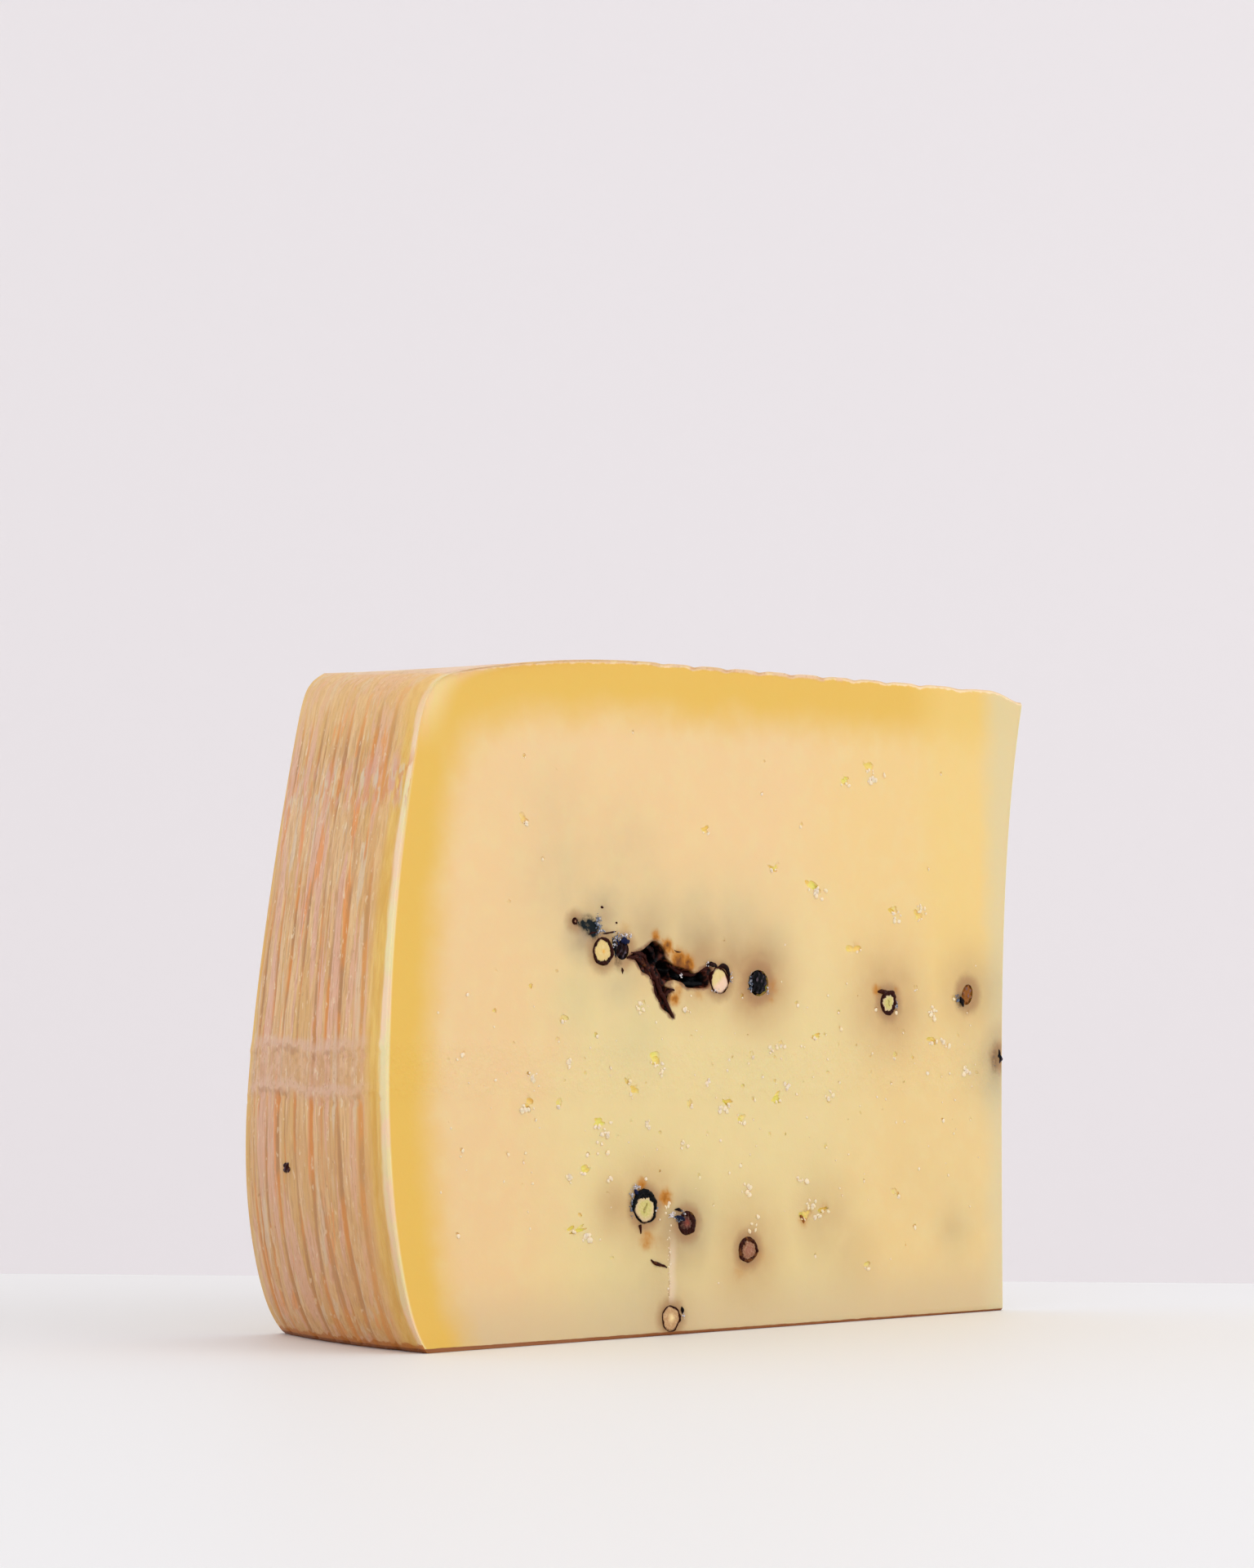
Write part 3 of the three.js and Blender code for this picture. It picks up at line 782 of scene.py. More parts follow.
HEEL_GRAIN_SIZE = (1.1, 1.9, 1.35)  # half sizes out of the heel, along it and upwards
SLICE_PROUD = 0.25  # how far a sliced grain stands out of the face
SLICE_DEPTH = 1.0
WHOLE_DEPTH = 1.4  # half a whole grain's depth
TIP_REACH = 5.0  # a grain nearer to the tip than this lies on it and has no pit
HUSK_POINTS = (84, 12)  # round a grain, and round the husk itself
SHRED_STEPS = 7  # rings of points to each stretch of a shred
SHRED_POINTS = 10  # in each ring

# Shreds of husk and dark threads on the near face: tone, then reach, height, rise and half
# thickness at the places that each runs through.
SHREDS = (
    (0.8, (95.2, 63.4, -0.7, 0.4), (94.3, 61.2, -0.3, 0.55), (93.3, 59.6, -0.1, 0.46),
     (92.6, 58.3, 0.0, 0.34), (91.8, 57.3, 0.05, 0.24), (91.1, 56.4, 0.05, 0.08)),
    (0.8, (94.0, 60.2, -0.1, 0.3), (92.8, 61.0, 0.05, 0.32), (91.8, 61.5, 0.1, 0.22),
     (91.0, 61.4, 0.1, 0.07)),
    (0.95, (103.0, 67.1, 0.1, 0.15), (101.0, 67.2, 0.0, 0.42), (99.4, 66.6, -0.3, 0.5),
     (97.8, 65.8, -0.7, 0.45), (96.4, 64.2, -1.0, 0.3)),
    (0.9, (101.9, 68.0, 0.0, 0.12), (99.6, 67.9, -0.3, 0.35), (98.0, 67.6, -0.8, 0.42),
     (96.6, 66.6, -1.5, 0.3)),
    (1.0, (98.3, 65.0, -0.2, 0.2), (96.9, 63.2, -0.35, 0.42), (95.8, 61.2, -0.3, 0.42),
     (95.1, 59.6, -0.2, 0.32), (94.0, 58.2, 0.0, 0.1)),
    (0.85, (97.1, 67.0, -1.7, 0.35), (95.9, 64.8, -1.0, 0.5), (94.8, 62.7, -0.8, 0.45),
     (94.0, 60.8, -0.5, 0.3)),
    (0.9, (94.2, 65.4, -1.8, 0.3), (93.8, 63.6, -1.1, 0.42), (93.9, 61.6, -0.7, 0.3)),
    (0.3, (97.6, 69.0, -0.5, 0.2), (96.4, 68.9, -1.0, 0.5), (95.2, 68.2, -1.5, 0.5),
     (94.3, 67.0, -1.8, 0.3)),
    (0.6, (91.8, 65.9, -0.6, 0.2), (89.0, 64.9, -1.3, 0.45), (86.5, 64.3, -0.9, 0.5),
     (84.2, 65.0, -0.5, 0.42), (82.4, 65.6, 0.0, 0.3)),
    (0.1, (88.6, 62.6, -1.2, 0.3), (86.0, 62.6, -0.9, 0.5), (83.6, 62.6, -0.5, 0.3)),
    (0.4, (79.6, 65.8, 0.1, 0.15), (78.4, 65.9, 0.2, 0.45), (77.4, 65.2, 0.2, 0.42),
     (77.0, 64.0, 0.15, 0.2), (76.9, 63.0, 0.1, 0.08)),
    (0.3, (82.6, 66.0, 0.1, 0.25), (81.5, 66.2, 0.25, 0.45), (80.2, 65.9, 0.2, 0.2)),
    (0.7, (112.4, 71.0, 0.0, 0.06), (111.6, 71.3, 0.05, 0.16), (110.6, 71.4, 0.05, 0.15),
     (109.8, 71.2, 0.0, 0.05)),
    (0.8, (109.0, 71.2, 0.0, 0.05), (108.0, 71.3, 0.08, 0.15), (106.8, 71.5, 0.05, 0.14),
     (105.6, 71.7, 0.0, 0.05)),
    (0.0, (106.5, 70.6, 0.0, 0.12), (106.1, 69.4, 0.1, 0.34), (105.8, 68.0, 0.05, 0.26),
     (105.7, 67.0, 0.0, 0.1)),
    (-0.5, (104.8, 69.9, 0.45, 0.2), (104.0, 70.1, 0.5, 0.6), (102.9, 69.9, 0.4, 0.4)),
    (-0.4, (105.9, 70.4, 0.05, 0.1), (105.4, 69.9, 0.2, 0.25), (105.1, 69.3, 0.15, 0.12)),
    (0.95, (97.0, 13.5, 0.05, 0.12), (95.8, 12.8, 0.15, 0.32), (94.4, 12.5, 0.15, 0.28),
     (93.0, 12.0, 0.05, 0.12)),
    (0.9, (99.8, 19.8, 0.1, 0.32), (99.6, 19.0, 0.1, 0.24), (99.5, 18.2, 0.05, 0.08)),
    (1.0, (36.4, 61.6, 0.05, 0.15), (35.6, 61.6, 0.2, 0.45), (34.6, 61.5, 0.2, 0.4),
     (33.6, 61.7, 0.1, 0.15)),
    (0.0, (101.6, 22.4, 0.1, 0.2), (101.2, 24.0, 0.2, 0.45), (99.8, 25.4, 0.25, 0.5),
     (98.0, 25.6, 0.25, 0.45), (96.4, 24.8, 0.15, 0.2)),
    (0.2, (12.4, 60.8, 0.0, 0.15), (12.1, 60.1, 0.25, 0.5), (11.8, 59.4, 0.15, 0.3),
     (11.5, 58.9, 0.0, 0.1)),
    (-0.5, (101.1, 26.2, 0.1, 0.1), (100.8, 25.6, 0.25, 0.42), (100.5, 25.0, 0.2, 0.2)),
    (0.4, (91.0, 22.2, 0.0, 0.08), (90.2, 22.2, 0.15, 0.3), (89.2, 21.9, 0.1, 0.2)),
    (-0.3, (91.2, 20.9, 0.05, 0.1), (90.2, 20.8, 0.2, 0.4), (89.2, 20.6, 0.25, 0.35),
     (88.6, 20.2, 0.2, 0.15)),
    (0.9, (109.5, 75.9, 0.05, 0.08), (109.2, 75.9, 0.1, 0.22), (108.8, 75.8, 0.05, 0.08)),
    (1.0, (105.8, 73.3, 0.0, 0.08), (105.6, 73.2, 0.1, 0.2), (105.3, 73.1, 0.0, 0.08)),
    (0.9, (104.2, 65.3, 0.0, 0.08), (104.1, 64.8, 0.1, 0.22), (104.0, 64.2, 0.0, 0.06)),
    (0.2, (89.2, 4.9, 0.0, 0.12), (89.1, 4.3, 0.15, 0.34), (89.0, 3.6, 0.05, 0.1)),
    (1.0, (91.0, 68.6, 0.0, 0.05), (90.2, 68.3, 0.1, 0.12), (89.3, 68.3, 0.05, 0.05)),
    (1.5, (57.6, 20.2, -0.3, 0.2), (57.3, 19.4, 0.0, 0.4), (57.0, 18.6, -0.1, 0.1)),
)
# The far face's eyes are drawn as in the part's source, so that the solid has them too: the least,
# the spread and the power of reach, height, width and tall.
FAR_EYE_SPANS = ((12, 118, 1), (8, 92, 1.3), (1.8, 2, 1), (1.1, 0.9, 1))
FAR_EYE_COUNT = 20
FAR_EYE_SEED = 4242
FAR_EYE_GAP = 7  # an eye is further than this from the others and from the grains
DRAW_STEP = 16807
DRAW_RANGE = 2147483647


def far_eyes():
    """The far face's eyes, to a tenth of a millimetre."""
    taken = [grain[:2] for grain in FAR_SLICED + FAR_WHOLE]
    eyes = []
    state = FAR_EYE_SEED
    while len(eyes) < FAR_EYE_COUNT:
        eye = []
        for least, spread, power in FAR_EYE_SPANS:
            state = state * DRAW_STEP % DRAW_RANGE
            eye.append(least + spread * (state / DRAW_RANGE) ** power)
        if all(math.dist(eye[:2], place) > FAR_EYE_GAP for place in taken):
            taken.append(eye[:2])
            eyes.append(tuple(round(size, 1) for size in eye))
    return tuple(eyes)


FAR_EYES = far_eyes()


def outline(rows, angle, seed):
    """The radius of each sliced grain's outline at an angle, as a share of its half size: one, plus
    three small cosines and a point."""
    turns = np.random.default_rng(seed).uniform(0, 6.3, (3, len(rows), 1))
    radius = 1 + 0.03 * np.cos(2 * angle + turns[0]) + 0.03 * np.cos(3 * angle + turns[1])
    radius = radius + 0.025 * np.cos(6 * angle + turns[2])
    off = np.mod(angle - np.radians(rows[:, 10:11]) + math.pi, TURN) - math.pi
    return radius + rows[:, 11:12] * bump(off, 0.7)


def husk_thickness(rows, angle):
    """The husk is thicker towards its thick side, with the cosine of the angle from it."""
    thick, thick_side, uneven = rows[:, 5:6], np.radians(rows[:, 6:7]), rows[:, 7:8]
    return np.maximum(thick * (1 + uneven * np.cos(angle - thick_side)), 0.06)


def tilted(local, tilt):
    """Turns each grain's local points (along, out, up) in the plane of the face by its tilt."""
    turn = np.radians(tilt).reshape(-1, *[1] * (local.ndim - 2))
    along, out, up = np.moveaxis(local, -1, 0)
    return np.stack([np.cos(turn) * along - np.sin(turn) * up, out,
                     np.sin(turn) * along + np.cos(turn) * up], -1)


def tilted_axes(side, tilt):
    """A face's three axes, turned in its plane."""
    return tilted(np.eye(3)[None], np.array([tilt]))[0] @ FACE_AXES[side]


def husks(side, rows, seed):
    """Rings round the sliced grains: a flattened tube carried along each outline, thickest at one
    side, and wrinkled by three waves along it."""
    draw = np.random.default_rng(seed + 1)
    around, across = [np.linspace(0, TURN, count, endpoint=False)[None] for count in HUSK_POINTS]
    edge = outline(rows, around, seed)
    thickness = husk_thickness(rows, around)
    for waves, size in ((9, 0.16), (17, 0.12), (29, 0.09)):
        wave = np.sin(waves * around + draw.uniform(0, 6.3, (len(rows), 1)))
        thickness = thickness * (1 + size * wave)
    inset = thickness[..., None] * (1 - np.cos(across)) / 2
    along = (rows[:, 2:3, None] / 2 * edge[..., None] - inset) * np.cos(around)[..., None]
    up = (rows[:, 3:4, None] / 2 * edge[..., None] - inset) * np.sin(around)[..., None]
    out = SLICE_PROUD - SLICE_DEPTH * (1 - np.sin(across)) / 2
    for waves, size in ((5, 0.1), (13, 0.06)):
        out = out + size * np.sin(waves * around + draw.uniform(0, 6.3, (len(rows), 1)))[..., None]
    local = np.stack(np.broadcast_arrays(along, out, up), -1)
    centre = CUTS[side](rows[:, 0], rows[:, 1])[:, None, None]
    return tilted(local, rows[:, 4]) @ FACE_AXES[side] + centre


def ring_triangles(rings, around, across):
    """The triangles of tubes that close both ways."""
    r, i, j = np.meshgrid(np.arange(rings), np.arange(around), np.arange(across), indexing="ij")
    number = lambda i, j: (r * around + i % around) * across + j % across
    a, b, c, d = number(i, j), number(i + 1, j), number(i + 1, j + 1), number(i, j + 1)
    return np.concatenate([np.stack([a, b, c], -1), np.stack([a, c, d], -1)]).reshape(-1, 3)


def wrinkled(centres, axes, sizes, seed):
    """Whole grains: balls with a net of ridges where the sines of several plane waves pass zero;
    gives their points, their triangles and how near each point is to a ridge."""
    points, triangles = lumps(centres, axes, sizes, 5, 0.05, seed, waves=4, pitch=1.4)
    flat = points.reshape(-1, 3)
    middle = np.repeat(centres, points.shape[1], axis=0)
    net = 0.0
    draw = np.random.default_rng(seed + 1)
    for _ in range(5):
        way = draw.normal(size=3)
        way *= TURN / (2.3 * np.linalg.norm(way))
        net = net + np.abs(np.sin(flat @ way + draw.uniform(0, 6.3)))
    flat = middle + (flat - middle) * (1.1 - 0.095 * net[:, None])
    return flat, triangles, 1 - smooth(net, 1.9, 3.0)


def whole_grains(side, rows, seed):
    """Whole grains sunk into a face so far that each stands out by its own amount."""
    centres = CUTS[side](rows[:, 0], rows[:, 1], rows[:, 5] - WHOLE_DEPTH)
    axes = np.stack([tilted_axes(side, tilt) for tilt in rows[:, 4]])
    sizes = np.stack([rows[:, 2] / 2, np.full(len(rows), WHOLE_DEPTH), rows[:, 3] / 2], -1)
    return wrinkled(centres, axes, sizes, seed)


def strand(line, seed):
    """A tapering shred: rings of points carried along a smooth line of reach, height, rise and half
    thickness, flattened, wrinkled by random waves, and closed at both ends."""
    line = flowing(line, SHRED_STEPS)
    middle = near_face(line[:, 0], line[:, 1], line[:, 2])
    ahead = np.gradient(middle, axis=0)
    ahead /= np.linalg.norm(ahead, axis=1, keepdims=True)
    beside = np.cross(ahead, NEAR_OUT)
    around = np.linspace(0, TURN, SHRED_POINTS, endpoint=False)[None, :, None]
    rings = np.cos(around) * beside[:, None] + 0.7 * np.sin(around) * NEAR_OUT
    wrinkles = 1 + 0.45 * ripple(middle[:, None] + 0.4 * rings, 1.0, 10, seed)
    rings = middle[:, None] + rings * (wrinkles * line[:, 3:])[..., None]
    count, sides = rings.shape[:2]
    i, j = np.meshgrid(np.arange(count - 1), np.arange(sides), indexing="ij")
    a, b = i * sides + j, i * sides + (j + 1) % sides
    walls = [np.stack([a, b, b + sides], -1), np.stack([a, b + sides, a + sides], -1)]
    turn = np.arange(sides)
    for end, first in ((count * sides, 0), (count * sides + 1, (count - 1) * sides)):
        walls.append(np.stack([first + turn, first + (turn + 1) % sides, np.full(sides, end)], -1))
    points = np.concatenate([rings.reshape(-1, 3), middle[[0, -1]]])
    return points, np.concatenate([wall.reshape(-1, 3) for wall in walls])


SIDES = (("near", np.array(NEAR_SLICED), np.array(NEAR_WHOLE), 41),
         ("far", np.array(FAR_SLICED), np.array(FAR_WHOLE), 47))


def make_husks():
    """The husks of the sliced grains, the whole grains, and the one in the heel, which is browner
    towards the near side."""
    parts, tones, ridges = [], [], []
    for side, sliced, whole, seed in SIDES:
        ring = husks(side, sliced, seed)
        parts.append((ring.reshape(-1, 3), ring_triangles(*ring.shape[:3])))
        tones.append(np.repeat(sliced[:, 9], ring.shape[1] * ring.shape[2]))
        ridges.append(0 * tones[-1])
        points, triangles, ridge = whole_grains(side, whole, seed + 2)
        parts.append((points, triangles))
        tones.append(np.repeat(whole[:, 6], len(points) // len(whole)))
        ridges.append(ridge)
    seat = heel_point(np.array([HEEL_GRAIN_ARC]), np.array([HEEL_GRAIN_HEIGHT]), -0.5)
    points, triangles, ridge = wrinkled(seat, np.eye(3)[None], np.array([HEEL_GRAIN_SIZE]), 59)
    parts.append((points, triangles))
    tones.append(0.85 - 0.5 * (points[:, 1] - seat[0, 1]) / HEEL_GRAIN_SIZE[1])
    ridges.append(ridge)
    return finished("peppercorn_husks", parts, "black_peppercorn", tone=tones, ridge=ridges)


def make_shreds():
    """One strand for each shred."""
    parts = [strand(line, 300 + index) for index, (_, *line) in enumerate(SHREDS)]
    tones = [np.full(len(part[0]), shred[0]) for part, shred in zip(parts, SHREDS)]
    return finished("husk_shreds", parts, "black_peppercorn", tone=tones)


def make_cores():
    """The pale cut middles: flattened balls that fill the husks' outlines, with a shallow slit
    pressed into the side that shows, and a fine unevenness."""
    parts, tones, mids, slits, sides = [], [], [], [], []
    points, triangles = ball(5)
    mid = np.hypot(points[:, 0], points[:, 2])
    angle = np.arctan2(points[:, 2], points[:, 0])[None]
    showing = points[:, 1] > 0
    for side, rows, _, seed in SIDES:
        count = len(rows)
        half = rows[:, 2:4, None] / 2 * outline(rows, angle, seed)[:, None]
        half = half - 0.7 * husk_thickness(rows, angle)[:, None]
        tilt = 0.45 * np.cos(2.1 * np.arange(count))[:, None]
        slit = points[:, 0] + tilt * points[:, 2] + 0.06 * np.sin(9 * points[:, 2])
        slit = showing * bump(slit, 0.15) * smooth(0.55 - np.abs(points[:, 2]), 0, 0.3)
        out = points[:, 1] * np.where(showing, 0.28, 0.8) - 0.08 * slit + SLICE_PROUD - 0.32
        along, up = mid * np.cos(angle) * half[:, 0], mid * np.sin(angle) * half[:, 1]
        local = np.stack(np.broadcast_arrays(along, out, up), -1)
        local[..., 1] += 0.05 * ripple(local + rows[:, None, :3], 0.9, 12, seed) * showing
        centres = CUTS[side](rows[:, 0], rows[:, 1])[:, None]
        placed = tilted(local, rows[:, 4]) @ FACE_AXES[side] + centres
        shift = np.arange(count)[:, None, None] * len(points)
        parts.append((placed.reshape(-1, 3), (triangles[None] + shift).reshape(-1, 3)))
        tones.append(np.repeat(rows[:, 8], len(points)))
        mids.append(np.tile(mid, count))
        slits.append(slit.ravel())
        sides.append(np.tile(points[:, 0] + 0.7 * points[:, 2], count))
    return finished("peppercorn_cores", parts, "peppercorn_core", tone=tones, mid=mids, slit=slits,
                    side=sides)


def socket_cutters():
    """A close-fitting pit under every grain in the faces, but for the one on the tip."""
    cutters = []
    for side, sliced, whole, _ in SIDES:
        sockets = [(*row[:5], SLICE_DEPTH + 0.5, 0.0, 0.98) for row in sliced]
        sockets += [(*row[:5], WHOLE_DEPTH, row[5] - WHOLE_DEPTH, 0.94) for row in whole
                    if row[0] > TIP_REACH]
        for index, (reach, height, wide, tall, tilt, deep, rise, share) in enumerate(sockets):
            sizes = np.array([[wide / 2 * share, deep, tall / 2 * share]])
            centre = CUTS[side](np.array([reach]), np.array([height]), rise)
            axes = tilted_axes(side, tilt)[None]
            cutters.append(cutter_of(*lumps(centre, axes, sizes, 3, 0.02, 80 + index)))
    return cutters


# ---- Mould bloom and curd crumbs, partly painted highlight ----

CRACK_REACH = 92.3
CRACK_HEIGHTS = (5.0, 19.5)
CRACK_CRUMBS = 26

# Patches of bloom on the near face: reach, height, spread along and up, how many specks, and a tone
# from 0, white, to 1, slate blue.
BLOOM = (
    (110.0, 72.9, 0.45, 1.0, 60, 0.75), (103.7, 71.0, 0.5, 0.25, 26, 0.3),
    (106.1, 69.9, 0.25, 0.9, 26, 0.6), (105.2, 70.6, 0.4, 0.4, 16, 0.5),
    (109.0, 71.7, 0.9, 0.12, 14, 0.4), (102.3, 70.9, 0.3, 0.3, 8, 0.1),
    (101.8, 25.0, 0.3, 0.5, 30, 0.35), (101.0, 26.5, 0.35, 0.3, 18, 0.25),
    (100.0, 26.4, 0.2, 0.3, 8, 0.1), (102.0, 22.8, 0.15, 1.0, 16, 0.7),
    (91.8, 21.2, 0.45, 0.3, 36, 0.2), (90.0, 20.6, 0.5, 0.4, 26, 0.9),
    (88.8, 21.6, 0.3, 0.3, 8, 0.5), (76.5, 63.8, 0.2, 0.5, 10, 0.4), (82.6, 66.1, 0.3, 0.3, 7, 0.4),
    (71.3, 62.6, 0.3, 1.2, 30, 0.75), (66.7, 61.6, 0.12, 0.4, 8, 0.2),
    (31.2, 59.0, 0.3, 0.5, 18, 0.6), (88.9, 3.1, 0.15, 0.5, 7, 0.1), (2.4, 48.0, 0.3, 1.2, 4, 0.8),
    (13.3, 60.4, 0.3, 0.7, 20, 0.85), (95.6, 22.5, 0.2, 0.8, 8, 0.3),
    (89.3, 63.8, 0.3, 0.3, 12, 0.1), (80.2, 61.4, 0.8, 0.25, 8, 0.3),
)
# Patches of pale curd on the near face, in the same order. Those just under the eyes are partly
# painted highlight, for the light their lower lips catch.
CURD = (
    (108.6, 35.4, 1.2, 1.2, 12), (94.2, 47.4, 0.9, 0.8, 8), (37.7, 101.9, 1.4, 0.7, 9),
    (52.3, 79.9, 1.2, 0.6, 9), (23.6, 77.6, 0.9, 0.6, 7), (30.4, 76.2, 0.8, 0.9, 7),
    (16.8, 51.6, 0.9, 0.7, 7), (20.5, 57.6, 0.9, 0.8, 8), (65.5, 50.9, 1.0, 0.7, 7),
    (10.8, 47.0, 1.1, 0.9, 8), (50.4, 42.6, 0.8, 0.7, 6), (78.7, 39.9, 1.4, 0.5, 9),
    (82.1, 45.0, 0.6, 0.5, 4), (88.1, 33.6, 0.9, 0.5, 5), (97.6, 37.3, 0.6, 0.6, 5),
    (107.3, 28.0, 0.5, 0.4, 4), (117.1, 28.4, 0.8, 0.6, 6), (126.0, 45.9, 0.5, 0.7, 5),
    (128.6, 40.6, 0.7, 0.6, 6), (117.1, 48.5, 0.3, 0.6, 4), (93.0, 22.6, 0.5, 0.7, 5),
    (55.2, 21.9, 0.9, 0.7, 9), (53.4, 19.6, 0.8, 0.5, 5), (112.4, 17.8, 1.0, 0.7, 7),
    (100.2, 58.4, 0.9, 0.6, 6), (87.6, 58.0, 0.9, 0.5, 5), (70.2, 18.6, 0.9, 0.7, 5),
    (72.0, 25.4, 1.2, 0.8, 7), (58.2, 26.2, 0.9, 0.9, 6), (61.2, 44.0, 0.9, 0.6, 6),
)


def specks(reach, height, half, rise, side, seed):
    """Flattened uneven specks lying on a cut face."""
    draw = np.random.default_rng(seed)
    sizes = np.stack([half, half * 0.5, half * draw.uniform(0.6, 1.2, len(half))], -1)
    axes = spun(FACE_AXES[side], draw.uniform(-1.5, 1.5, len(half)))
    points, triangles = lumps(CUTS[side](reach, height, rise), axes, sizes, 2, 0.22, seed)
    return points.reshape(-1, 3), triangles


def make_bloom():
    """Powdery specks, scattered as bell curves about each patch, smaller towards its rim."""
    draw = np.random.default_rng(91)
    *patches, counts, tone = np.array(BLOOM).T
    counts = counts.astype(int)
    off = draw.normal(size=(counts.sum(), 2))
    reach, height, wide, tall = [np.repeat(numbers, counts) for numbers in patches]
    reach, height = reach + off[:, 0] * wide, height + off[:, 1] * tall
    half = draw.uniform(0.09, 0.24, len(reach)) * np.exp(-0.12 * (off**2).sum(-1))
    points, triangles = specks(reach, height, half, draw.uniform(0, 0.35, len(reach)), "near", 93)
    tone = np.repeat(tone, counts) + draw.uniform(-0.3, 0.3, len(reach))
    tone = np.repeat(tone, len(points) // len(reach))
    return finished("mould_bloom", [(points, triangles)], "white_bloom", tone=[tone])


def make_crumbs_and_highlights(pits):
    """Pale curd crumbs: some on the lower lip of every eye and of half the pits, some along the
    crack, and the rest strewn in the belt of pits. Those on the lower lips, and the curd patches
    under the eyes, stand in partly for the light the lips catch: painted highlight as well as curd."""
    draw = np.random.default_rng(97)
    parts = []
    for side, eyes, loose in (("near", NEAR_EYES, 110), ("far", FAR_EYES, 50)):
        # The crumbs on the eyes' and pits' lower lips stand in partly for the light those lips
        # catch: painted highlight.
        lips = np.concatenate([np.repeat(np.array(eyes), 3, 0), pits[side][::2]])
        off = draw.uniform([-0.5, -0.65], [0.35, -0.3], (len(lips), 2)) * lips[:, 2:4]
        lots = [(*(lips[:, :2] + off).T, draw.uniform(0.16, 0.42, len(lips)))]
        lots.append((draw.uniform(6, 148, loose), np.clip(draw.normal(42, 13, loose), 3, 108),
                     draw.uniform(0.1, 0.3, loose)))
        if side == "near":
            patches = np.repeat(np.array(CURD), [patch[4] for patch in CURD], 0)
            spot = patches[:, :2] + draw.normal(size=(len(patches), 2)) * patches[:, 2:4] * 0.8
            lots.append((*spot.T, draw.uniform(0.2, 0.55, len(patches))))
            level = draw.uniform(*CRACK_HEIGHTS, CRACK_CRUMBS)
            lots.append((CRACK_REACH + draw.normal(0, 0.35, CRACK_CRUMBS), level,
                         draw.uniform(0.1, 0.24, CRACK_CRUMBS)))
        reach, height, half = np.concatenate(lots, axis=1)
        if side == "near":
            kept = inside_hollow(reach, height) < -0.6
            for row in NEAR_SLICED + NEAR_WHOLE:
                kept &= np.hypot(reach - row[0], height - row[1]) > max(row[2], row[3]) / 2 + 0.3
            reach, height, half = reach[kept], height[kept], half[kept]
        parts.append(specks(reach, height, half, 0.02, side, 99))
    return finished("curd_crumbs_and_highlights", parts, "pecorino_paste")


# ---- Materials ----


def paint(red, green, blue):
    """A colour as a screen shows it, 0 to 255, as the linear value that a shader takes."""
    share = np.array([red, green, blue]) / 255
    linear = np.where(share <= 0.04045, share / 12.92, ((share + 0.055) / 1.055) ** 2.4)
    return (*linear.tolist(), 1.0)


class Wire:
    """A number or a colour between two nodes of a material. Adding, subtracting and multiplying
    wires adds the nodes that do so."""

    def __init__(self, look, socket):
        self.look = look
        self.socket = socket

    def sum(self, operation, other=0.0):
        return self.look.node("ShaderNodeMath", {0: self, 1: other}, 0, operation=operation)

    def __add__(self, other):
        return self.sum("ADD", other)

    def __sub__(self, other):
        return self.sum("SUBTRACT", other)

    def __mul__(self, other):
        return self.sum("MULTIPLY", other)

    def __abs__(self):
        return self.sum("ABSOLUTE")

    def most(self, other):
        return self.sum("MAXIMUM", other)

    def ramp(self, low, high, first=0.0, last=1.0):
        """Eases from first to last as the number goes from low to high."""
        inputs = {"Value": self, "From Min": low, "From Max": high, "To Min": first, "To Max": last}
        return self.look.node("ShaderNodeMapRange", inputs, "Result",
                              interpolation_type="SMOOTHSTEP")

    def mix(self, first, second):
        """Goes from the first colour to the second as the number goes from 0 to 1."""
        return self.look.node("ShaderNodeMix", {0: self, 6: first, 7: second}, 2, data_type="RGBA")

    def coats(self, *layers):
        """The colour under coats of others: a share, a colour, the next share, and so on."""
        colour = self
        for share, shade in zip(layers[::2], layers[1::2]):
            colour = share.mix(colour, shade)
        return colour


